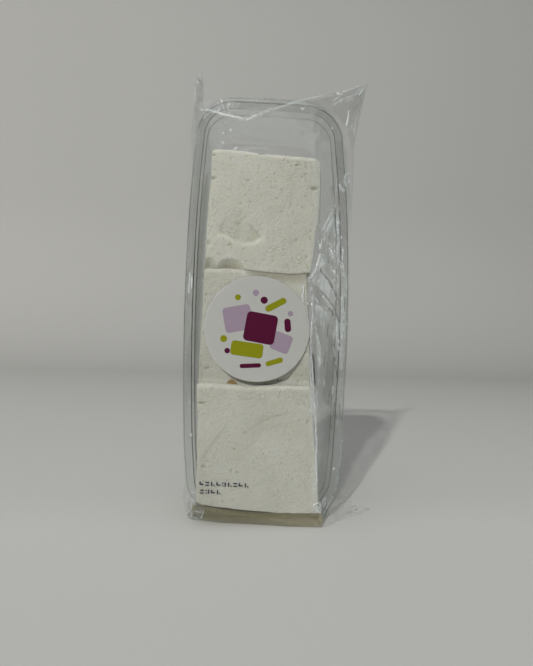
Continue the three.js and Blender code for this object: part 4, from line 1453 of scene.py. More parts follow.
# faint painted highlights along the wrinkles
wrinkle_highlight = smooth(creases, 0.36, 0.50) * slack
film_marks[:, 0] = np.maximum(film_marks[:, 0], 0.05 * wrinkle_highlight)
P = V + NV * (push + rise)[:, None]
q = row_mm(P)
low = q[:, 2] < 0.05
q[low, 2] = 0.05
P = pack_mm(q)
film = make("film_wrap", P, film_faces, FILM_M, attribute=film_marks)
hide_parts("clear_pack")


# The sharpest creases stand up from the film as narrow ridges of their own, which carry painted highlights and painted
# dark lines.
front_seen = np.flatnonzero(seen)
seen_px = pixel(P[front_seen])
seen_p = P[front_seen]


seen_tree = kdtree.KDTree(len(seen_px))
for k, place in enumerate(seen_px):
    seen_tree.insert((float(place[0]), float(place[1]), 0.0), k)
seen_tree.balance()


def on_film(place):
    """The film's surface at a place in the picture, from its nearest points."""
    found = seen_tree.find_n((float(place[0]), float(place[1]), 0.0), 6)
    near = [f_[1] for f_ in found]
    w = 1 / (np.array([f_[2] for f_ in found]) + 0.05) ** 2
    y = (seen_p[near, 1] * w).sum() / w.sum()
    return np.array(at_depth(place[0], place[1], y))


def ridge(line, half, strength, dark_, wobble):
    """A narrow ridge along a line of the picture: points, faces and marks, which paint a highlight along it, and a dark
    line instead when dark_ is set.
    """
    line = np.asarray(line, float)
    run = np.concatenate([[0], np.cumsum(np.hypot(*(line[1:] - line[:-1]).T))])
    n = max(7, int(run[-1] / 0.4) + 1)
    t = np.linspace(0, run[-1], n)
    # a soft curve through the line's points
    c_ = np.column_stack([np.interp(t, run, line[:, 0]), np.interp(t, run, line[:, 1])])
    if n > 7:
        k = np.array([0.25, 0.5, 0.25])
        for _ in range(9):
            inner_ = np.column_stack([np.convolve(c_[:, i], k, "valid") for i in (0, 1)])
            c_[1:-1] = inner_
    where_ = np.column_stack([c_ / 6.0, np.full(n, line[0, 0] * 0.37)])
    c_ = c_ + 0.22 * wobble * np.column_stack([uneven(where_), uneven(where_ + 40.0)])
    along_ = np.gradient(c_, axis=0)
    along_ /= np.maximum(np.hypot(*along_.T)[:, None], 1e-9)
    side_ = np.column_stack([-along_[:, 1], along_[:, 0]])
    end = np.clip(np.sin(np.pi * np.linspace(0.02, 0.98, n)) * 2.6, 0.12, 1)
    vary = np.clip(0.9 + 0.7 * uneven(where_ * 1.3 + 80.0), 0.35 if run[-1] < 60 else 0.75, 1.25)
    # small beads along it, as a creased film has, catch the light here and there
    bead = 1.0 - 0.32 * (0.5 + 0.5 * np.sin(t * (2 * np.pi / 1.9) + 2.2 * uneven(where_ * 2.1 + 15.0)))
    vs, mk = [], []
    for across, high in ((-1.0, 0.0), (-0.5, 0.6), (0.0, 1.0), (0.5, 0.6), (1.0, 0.0)):
        for i in range(n):
            at = c_[i] + side_[i] * across * half * end[i]
            q_ = on_film(at)
            out_ = q_ - EYE
            out_ /= np.linalg.norm(out_)
            vs.append(q_ - out_ * (0.22 * high * end[i] * (1.0 if dark_ else bead[i]) - 0.015))
            m_ = np.clip(strength * (0.25 + 0.75 * high) * end[i] * vary[i], 0, 1)
            mk.append((0, m_) if dark_ else (m_, 0))
    fs = [(r * n + i, r * n + i + 1, (r + 1) * n + i + 1, (r + 1) * n + i) for r in range(4) for i in range(n - 1)]
    return vs, fs, mk


ridge_v, ridge_f, ridge_m = [], [], []
for kind, line, width, strength, height in LINES:
    pts_ = np.asarray(line, float)
    length_ = np.hypot(*(pts_[1:] - pts_[:-1]).T).sum()
    if kind == "b" and strength >= 0.3 and width <= 0.9 and length_ > 3:
        vs_, fs_, mk_ = ridge(line, 0.5 + 0.45 * width, 0.95 * strength, False, 1.0)
    elif kind == "d" and strength >= 0.26 and length_ > 3:
        vs_, fs_, mk_ = ridge(line, 0.45 + 0.4 * width, 0.95 * strength, True, 0.6)
    else:
        continue
    base_ = len(ridge_v)
    ridge_v += vs_
    ridge_m += mk_
    ridge_f += [tuple(base_ + i for i in f_) for f_ in fs_]
creases_ = make("film_creases", np.array(ridge_v), ridge_f, CREASE_M, attribute=np.array(ridge_m))

# ------------------------------------------------------------------ loose corners of the film
def facets(name, points, tris, levels, mat, lines=(), seed=1, ripple=0.15, marks0=(0, 0), edge_highlight=0.0, edges=()):
    """A sheet of flat facets, each split finely, with small ripples, painted highlights and painted dark lines from its
    lines, and painted highlights along the given edges.
    """
    pts = [np.asarray(p, float) for p in points]
    verts, faces = [], []
    n = 2**levels
    for a, b, c in tris:
        A, B, C = pts[a], pts[b], pts[c]
        base = len(verts)
        index = {}
        for i in range(n + 1):
            for j in range(n + 1 - i):
                index[(i, j)] = len(verts)
                verts.append(A + (B - A) * i / n + (C - A) * j / n)
        for i in range(n):
            for j in range(n - i):
                faces.append((index[(i, j)], index[(i + 1, j)], index[(i, j + 1)]))
                if i + j < n - 1:
                    faces.append((index[(i + 1, j)], index[(i + 1, j + 1)], index[(i, j + 1)]))
    verts = np.array(verts)
    # weld the facets' shared edges
    key = np.round(verts * 500).astype(int)
    _, first_, inverse = np.unique(key, axis=0, return_index=True, return_inverse=True)
    inverse = inverse.ravel()
    faces = [tuple(inverse[list(f)]) for f in faces]
    verts = verts[first_]
    nz = Noise(seed)
    verts[:, 1] += ripple * nz(verts / 5.0) + ripple * 0.5 * (1 - 2 * np.abs(nz(verts / 9.0 + 20)))
    mk, rise_ = line_marks(verts, lines, np.ones(len(verts), bool))
    verts[:, 1] -= rise_
    mk[:, 0] += marks0[0]
    mk[:, 1] += marks0[1]
    if edge_highlight:
        for e in edges:
            d, _ = seg_distance(pixel(verts), pixel(np.array([pts[i] for i in e])))
            mk[:, 0] = np.maximum(mk[:, 0], edge_highlight * np.exp(-((d / 0.7) ** 2)))
    o = make(name, verts, faces, mat, attribute=mk)
    return o


# painted highlights (b) and painted dark lines and shade (d) on the loose ear
EAR_LINES = [
    ("b", [(276, 107), (286, 104.5), (297, 100.5), (308, 98), (320, 96)], 0.7, 0.22, 0.1),
    ("b", [(337.4, 92.8), (337.6, 93)], 0.85, 1.0, 0.1),
    ("b", [(340.6, 94), (341, 93.6)], 0.7, 0.5, 0.1),
    ("b", [(332.2, 101.4), (336, 98), (340, 94.5)], 0.45, 0.25, 0.2),
    ("b", [(358.6, 94.6), (360.4, 92), (362.6, 89.2)], 0.55, 0.95, 0.2),
    ("b", [(362.6, 89.2), (364.6, 86.4), (366.4, 83.6)], 0.45, 0.3, 0.1),
    ("b", [(331, 106), (338, 101.5), (346, 97.5), (354, 94)], 0.9, 0.16, 0.3),
    ("b", [(352, 96), (358, 91), (364, 85.6)], 1.2, 0.12, 0.2),
    ("b", [(348.6, 109.5), (348, 114), (347, 120), (345.8, 126)], 0.5, 0.7, 0.2),
    ("b", [(344, 128.6), (345.6, 129.2), (347, 130.5)], 0.65, 0.8, 0.1),
    ("b", [(344.9, 131), (344.6, 138), (344.3, 143), (344.2, 148)], 0.6, 0.55, 0.2),
    ("b", [(358.2, 112), (355.6, 121), (354, 128), (353.2, 133)], 0.45, 0.4, 0.2),
    ("b", [(362.6, 111), (361, 118), (359.4, 124)], 0.4, 0.3, 0.1),
    ("b", [(361, 104.4), (363, 102.6)], 0.5, 0.25, 0.1),
    ("b", [(367, 82.6), (366.2, 90), (365, 98), (363, 107), (361, 116)], 0.5, 0.26, 0.1),
    ("b", [(341, 91.5), (350, 88.2), (358, 85.5), (367, 82.5)], 0.5, 0.30, 0.1),
    ("d", [(351, 108), (353, 101), (358, 96), (363, 91)], 2.6, 0.10, 0.1),
    ("d", [(352, 112), (357, 104), (362, 98)], 3.0, 0.10, 0.0),
    ("d", [(329, 99), (334, 97), (338, 95)], 2.6, 0.07, 0.0),
    ("d", [(353.6, 139), (354.6, 140)], 0.8, 0.2, 0.0),
    ("b", [(346.6, 166), (346.4, 168.2)], 0.5, 0.6, 0.1),
    ("b", [(346.5, 170.6), (344.8, 175.5), (343.8, 179.6), (345, 184), (345.6, 186.4)], 0.55, 1.0, 0.2),
    ("b", [(346.8, 171), (348.8, 176), (348.5, 181), (346.6, 183.8), (345.2, 186)], 0.5, 0.75, 0.2),
    ("b", [(348, 181.6), (346.4, 184)], 0.7, 0.5, 0.1),
    ("b", [(356.4, 128), (355.6, 136), (355.2, 148), (355.6, 162), (356.2, 180)], 0.5, 0.18, 0.0),
]
APEX = (51.6, 7.0, 224.8)
ear_points = [
    APEX,
    (-4.3, -0.4, 203.0),  # 1 where the crease over the top ends
    (14.9, -1.0, 209.6),  # 2
    (26.0, -1.4, 213.0),  # 3
    (38.0, 1.5, 217.4),  # 4 upper edge
    (12.0, -1.6, 206.0),  # 5 base, along the rim's corner
    (25.0, -2.0, 205.0),  # 6
    (33.5, -2.0, 201.5),  # 7
    (39.0, -1.6, 195.5),  # 8
    (41.4, -1.2, 186.0),  # 9
    (42.0, -0.8, 172.0),  # 10
    (42.2, 0.0, 156.0),  # 11
    (47.6, 4.0, 208.0),  # 12 right edge
    (45.4, 4.5, 197.0),  # 13
    (44.4, 5.5, 189.0),  # 14
    (44.8, 8.0, 172.0),  # 15
    (44.6, 8.5, 157.0),  # 16
    (42.4, -3.2, 209.5),  # 17 fold inside the ear
    (44.0, 0.2, 200.0),  # 18
    (42.3, 2.0, 134.0),  # 19 lower end of the slack
]
ear_tris = [
    (1, 5, 2),
    (2, 5, 6),
    (2, 6, 3),
    (3, 6, 17),
    (3, 17, 4),
    (4, 17, 0),
    (6, 7, 17),
    (7, 8, 17),
    (8, 18, 17),
    (17, 18, 0),
    (18, 12, 0),
    (18, 13, 12),
    (8, 9, 18),
    (18, 9, 13),
    (9, 14, 13),
    (9, 10, 14),
    (10, 15, 14),
    (10, 11, 15),
    (11, 16, 15),
    (11, 19, 16),
]
ear = facets(
    "film_ear_right",
    ear_points,
    ear_tris,
    5,
    EAR_M,
    EAR_LINES,
    seed=81,
    ripple=0.22,
    edge_highlight=0.14,
    edges=[(2, 3, 4, 0), (0, 12, 13, 14, 15, 16, 19), (1, 2)],
)
# its back sheet
ear_back = facets(
    "film_ear_right_back",
    [
        APEX,
        (-4.0, 1.0, 211.0),
        (14.9, 1.4, 210.4),
        (26.0, 3.0, 212.8),
        (38.0, 4.5, 216.8),
        (20.0, 17.0, 203.0),
        (34.0, 18.0, 196.0),
        (38.0, 16.0, 178.0),
        (47.6, 6.5, 208.0),
        (44.6, 8.6, 189.0),
        (45.4, 10.5, 172.0),
        (44.9, 10.5, 156.0),
        (42.5, 9.0, 200.0),
    ],
    [(2, 3, 5), (3, 4, 12), (3, 12, 5), (5, 12, 6), (4, 0, 12), (0, 8, 12), (12, 8, 9), (6, 12, 9), (6, 9, 7), (9, 10, 7), (10, 11, 7), (1, 2, 5)],
    4,
    EAR_M,
    seed=82,
    ripple=0.3,
)

# the narrow fin at the upper left, a fold of film seen almost on its edge
# painted dark lines (d) and painted highlights (b) on the fin
FIN_LINES = [
    ("d", [(197, 76), (198.4, 79), (200.4, 81.5), (201.2, 85), (201.4, 90)], 0.5, 0.28, 0.1),
    ("b", [(197.3, 81), (197.5, 82.4)], 0.6, 0.3, 0.1),
    ("d", [(194.6, 80), (193, 86), (192.8, 95), (193.4, 104)], 0.4, 0.16, 0.1),
    ("b", [(194.6, 84), (194.2, 92), (194.6, 100)], 0.5, 0.2, 0.1),
    ("b", [(203.2, 72), (203.4, 84), (203.6, 98)], 0.4, 0.16, 0.0),
    ("d", [(199, 86), (200, 100), (200.6, 116)], 2.2, 0.08, 0.0),
    ("d", [(197.4, 104), (196.4, 120), (194.6, 138)], 1.4, 0.08, 0.0),
    ("b", [(200.8, 109), (202, 109.6)], 0.7, 0.5, 0.0),
    ("d", [(203, 98), (206, 100), (209.4, 103.4)], 0.4, 0.12, 0.0),
    ("d", [(194.4, 106), (194.2, 122), (195.2, 139)], 0.45, 0.3, 0.0),
    ("b", [(209.8, 103), (214.6, 97.6), (219, 96.6)], 0.5, 0.12, 0.0),
]
fin_pts = [
    at_depth(200.6, 67.4, 8.0),  # 0 apex
    at_depth(203.0, 80.0, 6.0),
    at_depth(203.6, 98.0, 1.0),
    at_depth(200.8, 82.0, 3.0),
    at_depth(196.9, 76.0, 5.5),
    at_depth(193.6, 84.0, 6.0),
    at_depth(193.0, 95.0, 4.0),
    at_depth(194.0, 108.0, 1.0),
    at_depth(202.0, 110.0, -0.8),
    at_depth(194.6, 126.0, 0.2),
    at_depth(199.6, 118.0, -0.8),
    at_depth(195.6, 140.0, -0.2),
    at_depth(209.6, 104.0, -0.9),
    at_depth(211.0, 99.6, 1.0),
]
fin_tris = [
    (0, 3, 1),
    (0, 4, 3),
    (3, 2, 1),
    (4, 5, 3),
    (5, 6, 3),
    (3, 6, 2),
    (6, 7, 2),
    (7, 8, 2),
    (7, 9, 10),
    (7, 10, 8),
    (9, 11, 10),
    (2, 8, 12),
    (2, 12, 13),
]
fin = facets("film_fin_left", fin_pts, fin_tris, 5, EAR_M, FIN_LINES, seed=91, ripple=0.1, edge_highlight=0.1, edges=[(0, 1, 2), (4, 5, 6, 7, 9, 11)])
# the fin's second sheet, which runs back to the tray's floor
fin_back = facets(
    "film_fin_left_back",
    [
        at_depth(200.6, 67.4, 8.0),
        (-36.6, 12.0, 212.0),
        (-37.4, 20.0, 196.0),
        (-39.4, 5.5, 208.0),
        (-40.4, 6.0, 192.0),
        (-39.0, 7.0, 168.0),
        (-34.0, 14.0, 203.0),
        (-37.8, 16.0, 176.0),
    ],
    [(0, 1, 3), (1, 2, 4), (1, 4, 3), (2, 5, 4), (0, 6, 1), (6, 2, 1), (2, 7, 5)],
    4,
    EAR_M,
    seed=92,
    ripple=0.15,
)

# the folded film under the blocks: layers that lie on each other, and a tuck at the left
# its olive-brown dark colour is painted shade: the shaded space under the bottom block, seen through the folds
FOOT_M = clear_material(
    "clear_film_folded_painted_shade", gloss=0.5, rough=0.16, haze=0.012, tint=0.34, bump=0.05, bump_scale=60,
    dark=(0.33, 0.285, 0.145), light=(0.62, 0.63, 0.5),
)


def strip(name, top, bottom, rows, mat, seed, ripple, dark, lines=()):
    """A band of film between two lines of points, with painted highlights and dark lines from its lines and painted
    shade of the amount dark over the whole band.
    """
    top, bottom = np.asarray(top, float), np.asarray(bottom, float)
    n = len(top)
    vs = []
    for r in range(rows + 1):
        t = r / rows
        vs.append(top * (1 - t) + bottom * t)
    v = np.concatenate(vs)
    nz = Noise(seed)
    v[:, 1] += ripple * nz(v * [0.06, 0.2, 0.16]) * 1.0
    fs = loft_faces(rows + 1, n, closed=False)
    mk, rise_ = line_marks(v, lines, np.ones(len(v), bool))
    v[:, 1] -= rise_
    mk[:, 1] += dark
    w = row_mm(v)
    w[:, 2] = np.maximum(w[:, 2], 0.06)
    o = make(name, pack_mm(w), fs, mat, attribute=mk)
    return o


# painted dark lines and shade (d, D) and painted highlights (b, B) on the foot
FOOT_LINES = [
    ("d", [(204, 508), (240, 514), (290, 517), (318, 519)], 0.9, 0.10, 0.0),
    ("b", [(203, 505.5), (212, 509), (222, 513), (230, 515)], 2.2, 0.07, 0.0),
    ("B", [(296, 515.6), (328, 517), (328, 530), (296, 527)], 9.0, 0.05, 0.0),
    ("b", [(268, 518.6), (284, 520.6), (300, 523), (322, 527.4)], 1.6, 0.16, 0.0),
    ("D", [(224, 511), (262, 517), (300, 519.4), (322, 519.4), (322, 523), (262, 519)], 2.4, 0.10, 0.0),
    ("b", [(313, 527), (318, 520), (321, 513)], 0.6, 0.20, 0.0),
    ("d", [(286, 524.5), (300, 525.4), (319, 527)], 0.7, 0.22, 0.0),
    ("b", [(321, 512), (321.4, 519), (324, 523.4)], 0.6, 0.16, 0.0),
]
xs = np.linspace(-33.5, 27.4, 160)
top_z = np.interp(xs, [-33.5, -31.6, -4.9, 26.5], [9.4, 9.0, 6.0, 5.6])
floor_y = np.interp(xs, [p[0] for p in FLOOR_LINE], [p[1] for p in FLOOR_LINE])
foot_top = np.stack([xs, np.full(len(xs), -13.2), top_z], 1)
foot_low = np.stack([xs, floor_y + 0.5, floor_y * SL / CL + 0.2], 1)
foot1 = strip("film_foot_front", foot_top, foot_low, 16, FOOT_M, 101, 0.03, 0.16, FOOT_LINES)
top2 = np.stack([xs, np.full(len(xs), -6.0), top_z - 0.4], 1)
low2 = np.stack([xs, floor_y * 0.5 + 3.0, floor_y * 0 + 0.3], 1)
foot2 = strip("film_foot_middle", top2, low2, 10, FOOT_M, 102, 0.05, 0.22)
top3 = np.stack([xs, np.full(len(xs), 2.6), np.full(len(xs), 5.2)], 1)
low3 = np.stack([xs, np.full(len(xs), 9.0), np.full(len(xs), 0.7)], 1)
foot3 = strip("film_foot_back", top3, low3, 10, FOOT_M, 103, 0.05, 0.22)

TUCK_M = clear_material("clear_film_tuck", gloss=1.1, rough=0.07, haze=0.05, tint=0.05, bump=0.3, bump_scale=150, dark=(0.10, 0.10, 0.07))
# painted dark outlines (d) and painted highlights (b) on the tuck
TUCK_LINES = [
    ("d", [(195.4, 504.6), (192, 509), (187.4, 515.4)], 0.6, 0.9, 0.1),
    ("d", [(187.4, 515.4), (190.4, 518.2), (195, 519.6), (200.6, 520)], 0.6, 0.8, 0.0),
    ("d", [(191.6, 514), (196, 515.6), (199.6, 517.8)], 0.5, 0.8, 0.0),
    ("d", [(197, 505), (200.4, 507.6), (203.4, 510)], 0.6, 0.45, 0.0),
    ("b", [(194, 510.6), (197, 511.4), (201, 512)], 1.0, 0.20, 0.0),
    ("b", [(203.6, 509.6), (202.4, 513.6), (200.2, 517.8)], 0.6, 0.34, 0.0),
    ("b", [(189, 515), (192, 517.4), (198, 518.6)], 0.6, 0.4, 0.0),
    ("d", [(195.2, 505.6), (199, 511), (200.4, 517)], 0.45, 0.35, 0.0),
    ("d", [(190, 511), (195, 512.6), (200, 512)], 0.45, 0.3, 0.0),
    ("d", [(188.6, 499), (188.2, 504), (189.6, 510)], 1.6, 0.25, 0.0),
    ("b", [(191, 498), (193.4, 500), (194.6, 503)], 0.7, 0.25, 0.0),
    ("b", [(195.4, 506.6), (192, 511.6)], 0.5, 0.25, 0.0),
]
tuck = facets(
    "film_tuck_left",
    [
        at_depth(195.4, 503.8, -13.6),  # 0
        on_table(187.2, 515.8, 0.5),  # 1
        on_table(192.5, 518.9, 0.2),  # 2
        on_table(201.0, 520.0, 0.2),  # 3
        at_depth(204.2, 508.6, -12.8),  # 4
        at_depth(198.6, 505.0, -13.9),  # 5
        at_depth(188.0, 498.0, -2.0),  # 6
        at_depth(193.0, 497.0, -7.0),  # 7
        at_depth(186.6, 507.0, -1.0),  # 8
        at_depth(194.4, 511.6, -9.0),  # 9
    ],
    [(0, 1, 8), (0, 8, 6), (0, 6, 7), (0, 9, 1), (9, 2, 1), (9, 3, 2), (9, 4, 3), (0, 5, 9), (5, 4, 9)],
    5,
    TUCK_M,
    TUCK_LINES,
    seed=111,
    ripple=0.1,
    marks0=(0.06, 0.02),
)

# the loose corner that lies on the table at the right
# painted dark lines (d) and painted highlights (b) on the loose corner
TABLE_LINES = [
    ("d", [(324, 527), (334, 523.4), (346, 518.6), (358, 513.6), (370, 508.8)], 0.45, 0.30, 0.0),
    ("d", [(362.5, 506.8), (366.5, 507.6), (370, 508.8)], 0.7, 0.55, 0.0),
    ("b", [(364.6, 505.8), (368, 506.8)], 0.7, 0.5, 0.0),
    ("b", [(356.4, 503.4), (356.6, 503.6)], 0.8, 0.95, 0.1),
    ("b", [(360, 503), (361.6, 503)], 0.6, 0.6, 0.1),
    ("b", [(353.4, 507.4), (355.4, 507.4)], 0.6, 0.7, 0.1),
    ("b", [(351.4, 504.6), (353.6, 504)], 0.5, 0.45, 0.1),
    ("d", [(352, 502), (358, 504), (364, 504)], 0.9, 0.16, 0.0),
    ("b", [(332, 521), (341, 513.5), (350, 508.4)], 0.6, 0.22, 0.3),
    ("d", [(334, 519.4), (343, 512.6), (352, 508)], 0.5, 0.16, 0.1),
    ("b", [(342, 516.4), (352, 511.4), (361, 508.4)], 0.6, 0.2, 0.3),
    ("d", [(343, 515), (352, 510), (360, 507.4)], 0.4, 0.14, 0.1),
    ("b", [(344, 505.6), (349, 506), (353, 506.6)], 0.5, 0.2, 0.1),
    ("b", [(336.6, 491), (342, 494), (347.6, 497.4)], 0.5, 0.14, 0.0),
    ("b", [(331, 503.6), (336, 502.6), (341, 500.6)], 0.6, 0.16, 0.0),
    ("b", [(327, 524), (336, 520.6), (348, 515.6)], 0.8, 0.14, 0.1),
]
table_pts = [
    on_table(322.4, 527.0, 0.3),  # 0 front corner
    on_table(369.8, 508.6, 0.5),  # 1 apex
    on_table(352.0, 502.0, 2.2),  # 2
    on_table(347.0, 497.6, 1.5),  # 3
    on_table(336.5, 491.2, 1.0),  # 4
    on_table(343.0, 512.0, 2.6),  # 5 raised fold
    on_table(333.0, 517.6, 2.8),  # 6
    on_table(341.0, 503.0, 2.2),  # 7
    at_depth(326.5, 510.0, -10.0),  # 8
    at_depth(331.0, 499.0, -2.0),  # 9
    on_table(350.0, 511.0, 0.8),  # 10
    on_table(358.0, 506.6, 2.0),  # 11
]
table_tris = [
    (0, 6, 8),
    (0, 10, 6),
    (6, 10, 5),
    (0, 1, 10),
    (10, 1, 11),
    (10, 11, 5),
    (5, 11, 2),
    (5, 2, 7),
    (7, 2, 3),
    (6, 5, 7),
    (8, 6, 7),
    (8, 7, 9),
    (9, 7, 3),
    (9, 3, 4),
]
TABLE_M = clear_material("clear_film_corner", gloss=0.7, rough=0.07, haze=0.07, tint=0.0, bump=0.2, bump_scale=150, light=(1.0, 1.0, 0.97))
corner = facets("film_corner_right", table_pts, table_tris, 5, TABLE_M, TABLE_LINES, seed=121, ripple=0.12, edge_highlight=0.12, edges=[(0, 1)])

# ------------------------------------------------------------------ the round label
LABEL = np.array([-5.25, 91.6])
LABEL_R = 24.98
N_L = 144


def label_bend(x, z):
    """The label's front face: depth at a place on it. It lies on the film and bows a little."""
    return -14.34 - 0.10 * np.cos((x - LABEL[0]) / 14.0) + 0.05 * np.sin(z / 9.0)


def disc():
    ang = np.linspace(0, 2 * np.pi, N_L, endpoint=False)
    rows = []
    for r, dy in ((0.02, 0), (0.25, 0), (0.5, 0), (0.75, 0), (0.93, 0), (0.985, 0.0), (0.997, 0.03), (1.0, 0.09), (0.999, 0.16), (0.99, 0.18), (0.6, 0.18), (0.02, 0.18)):
        x = LABEL[0] + LABEL_R * r * np.cos(ang)
        z = LABEL[1] + LABEL_R * r * np.sin(ang)
        rows.append(np.stack([x, label_bend(x, z) + dy, z], 1))
    v = np.concatenate(rows)
    f = loft_faces(len(rows), N_L)
    f = [tuple(reversed(q)) for q in f]
    f.insert(0, tuple(range(N_L)))
    f.append(tuple(reversed([(len(rows) - 1) * N_L + i for i in range(N_L)])))
    return v, f


v, f = disc()
label = make("label_paper_disc", v, f, PAPER_M)
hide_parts("round_label")


def blob(centre, half, radius, turn=0.0, n=10):
    """A rounded rectangle's outline."""
    pts = []
    hx, hz = half
    for sx, sz, a0 in ((1, 1, 0), (-1, 1, 90), (-1, -1, 180), (1, -1, 270)):
        for k in range(n + 1):
            a = math.radians(a0 + 90 * k / n)
            pts.append((sx * (hx - radius) + radius * math.cos(a), sz * (hz - radius) + radius * math.sin(a)))
    p = np.array(pts)
    c, s_ = math.cos(turn), math.sin(turn)
    p = p @ np.array([[c, s_], [-s_, c]])
    return p + np.asarray(centre)


def printed(name, outlines, mat, surface, lift=0.03):
    """Thin printed shapes on a surface given by surface(x, z)."""
    verts, faces = [], []
    for o in outlines:
        c = o.mean(0)
        base = len(verts)
        n = len(o)
        for s_ in (1.0, 0.66, 0.33):
            p = c + (o - c) * s_
            verts += [(x, surface(x, z) - lift, z) for x, z in p]
        verts.append((c[0], surface(*c) - lift, c[1]))
        for r in range(2):
            for i in range(n):
                j = (i + 1) % n
                faces.append((base + r * n + i, base + (r + 1) * n + i, base + (r + 1) * n + j, base + r * n + j))
        for i in range(n):
            faces.append((base + 2 * n + i, base + 3 * n, base + 2 * n + (i + 1) % n))
        # the edge down to the paper
        low = len(verts)
        verts += [(x, surface(x, z) + 0.01, z) for x, z in o]
        for i in range(n):
            j = (i + 1) % n
            faces.append((base + i, base + j, low + j, low + i))
    ob = make(name, np.array(verts), faces, mat, smooth_faces=False)
    return ob


lx, lz = LABEL
printed(
    "label_print_lilac",
    [
        blob((lx - 9.2, lz + 4.6), (6.6, 6.0), 1.8, 0.20),
        blob((lx + 11.6, lz - 6.2), (4.6, 4.4), 1.4, -0.35),
        blob((lx - 1.0, lz + 17.0), (1.5, 1.5), 1.49),
        blob((lx + 15.6, lz + 7.6), (1.3, 1.3), 1.29),
    ],
    LILAC_M,
    label_bend,
    0.02,
)
printed(
    "label_print_olive",
    [
        blob((lx - 4.6, lz - 9.8), (7.6, 3.4), 1.6, -0.12),
        blob((lx + 8.6, lz + 11.6), (5.4, 1.5), 1.45, 0.5),
        blob((lx - 15.6, lz - 5.0), (1.6, 1.6), 1.59),
        blob((lx - 9.4, lz + 14.6), (1.4, 1.4), 1.39),
        blob((lx + 8.4, lz - 15.4), (4.2, 1.2), 1.15, 0.3),
    ],
    OLIVE_M,
    label_bend,
    0.035,
)
printed(
    "label_print_plum",
    [
        blob((lx + 1.6, lz + 0.4), (7.4, 7.0), 2.0, -0.16),
        blob((lx + 3.0, lz + 13.6), (1.7, 1.7), 1.69),
        blob((lx + 14.4, lz + 2.0), (1.5, 3.2), 1.45, 0.1),
        blob((lx - 13.8, lz - 10.6), (1.3, 1.3), 1.29),
        blob((lx - 2.8, lz - 17.4), (5.0, 1.0), 0.95, 0.06),
    ],
    PLUM_M,
    label_bend,
    0.05,
)

# ------------------------------------------------------------------ printed marks on the film
def film_front(x, z):
    return -14.12


marks_out = []
TICKS = (
    (483.0, 199.4, 5.6, "a b c a d c b a c"),
    (491.0, 199.6, 5.6, "b d a c"),
)
SHAPES = {
    # small strokes of a coded print: [dx, dz, half width, half height] in mm
    "a": [(0.0, -0.35, 0.95, 0.24), (-0.70, 0.40, 0.25, 0.62)],
    "b": [(0.0, -0.62, 0.90, 0.23), (0.0, 0.62, 0.90, 0.23)],
    "c": [(-0.50, 0.0, 0.24, 0.98), (0.60, -0.60, 0.28, 0.28)],
    "d": [(0.55, 0.0, 0.24, 0.98), (-0.50, 0.60, 0.28, 0.28), (-0.50, -0.60, 0.28, 0.28)],
}
for y_px, x_px, step, code in TICKS:
    for k, mark in enumerate(code.split()):
        xc = x_px + 1.6 + k * step
        place = at_depth(xc, y_px + (xc - 199) * 0.04, -14.12)
        for dx, dz, hx, hz in SHAPES[mark]:
            marks_out.append(blob((place[0] + dx, place[2] + dz), (hx, hz), min(hx, hz) * 0.8, -0.03, 3))
printed("film_print_marks", marks_out, INK_M, film_front, 0.02)

# ------------------------------------------------------------------ camera
cam_data = bpy.data.cameras.new("camera")
cam_data.sensor_width = 36
cam_data.lens = FOCAL / 666 * 36
cam_data.clip_start = 0.01
cam_data.shift_x = -0.5 / 666
cam_data.shift_y = 0.5 / 666
cam = bpy.data.objects.new("camera", cam_data)
bpy.context.collection.objects.link(cam)
m = Matrix.Identity(4)
for i in range(3):
    m[i][0], m[i][1], m[i][2], m[i][3] = RIGHT[i], UP[i], -AHEAD[i], CAM[i] / 1000
cam.matrix_world = m
bpy.context.scene.camera = cam

# ------------------------------------------------------------------ floor and light
# the stage's colour is painted paler just in front of the pack and darker far back and towards the right, standing in
# for the fall of the light
stage_m, nodes, links = material("stage")
out = nodes.new("ShaderNodeOutputMaterial")
d = nodes.new("ShaderNodeBsdfDiffuse")
where = nodes.new("ShaderNodeTexCoord")
split = nodes.new("ShaderNodeSeparateXYZ")
links.new(where.outputs["Object"], split.inputs[0])
depth_map = nodes.new("ShaderNodeMath")
depth_map.operation = "MULTIPLY_ADD"
depth_map.inputs[1].default_value = 0.5
links.new(split.outputs["Y"], depth_map.inputs[0])
height_map = nodes.new("ShaderNodeMath")
height_map.operation = "MULTIPLY_ADD"
height_map.inputs[1].default_value = 0.04
height_map.inputs[2].default_value = 0.25
links.new(split.outputs["Z"], height_map.inputs[0])
links.new(height_map.outputs[0], depth_map.inputs[2])
depth_ramp = nodes.new("ShaderNodeValToRGB")
stops = [(0.0, 0.92), (0.20, 0.945), (0.235, 0.96), (0.26, 0.90), (0.33, 0.86), (0.75, 0.665), (0.97, 0.665), (0.992, 0.70)]
for k, (at, value) in enumerate(stops):
    e = depth_ramp.color_ramp.elements[k] if k < 2 else depth_ramp.color_ramp.elements.new(at)
    e.position = at
    e.color = (value, value * 0.995, value * 0.965, 1)
links.new(depth_map.outputs[0], depth_ramp.inputs[0])
side_map = nodes.new("ShaderNodeMath")
side_map.operation = "MULTIPLY_ADD"
side_map.inputs[1].default_value = 0.55
side_map.inputs[2].default_value = 0.5
links.new(split.outputs["X"], side_map.inputs[0])
side_ramp = nodes.new("ShaderNodeValToRGB")
side_ramp.color_ramp.elements[0].position = 0.0
side_ramp.color_ramp.elements[0].color = (1, 1, 1, 1)
side_ramp.color_ramp.elements[1].position = 1.0
side_ramp.color_ramp.elements[1].color = (0.80, 0.81, 0.82, 1)
links.new(side_map.outputs[0], side_ramp.inputs[0])
both = nodes.new("ShaderNodeMix")
both.data_type = "RGBA"
both.blend_type = "MULTIPLY"
both.inputs[0].default_value = 1
links.new(depth_ramp.outputs[0], both.inputs[6])
links.new(side_ramp.outputs[0], both.inputs[7])
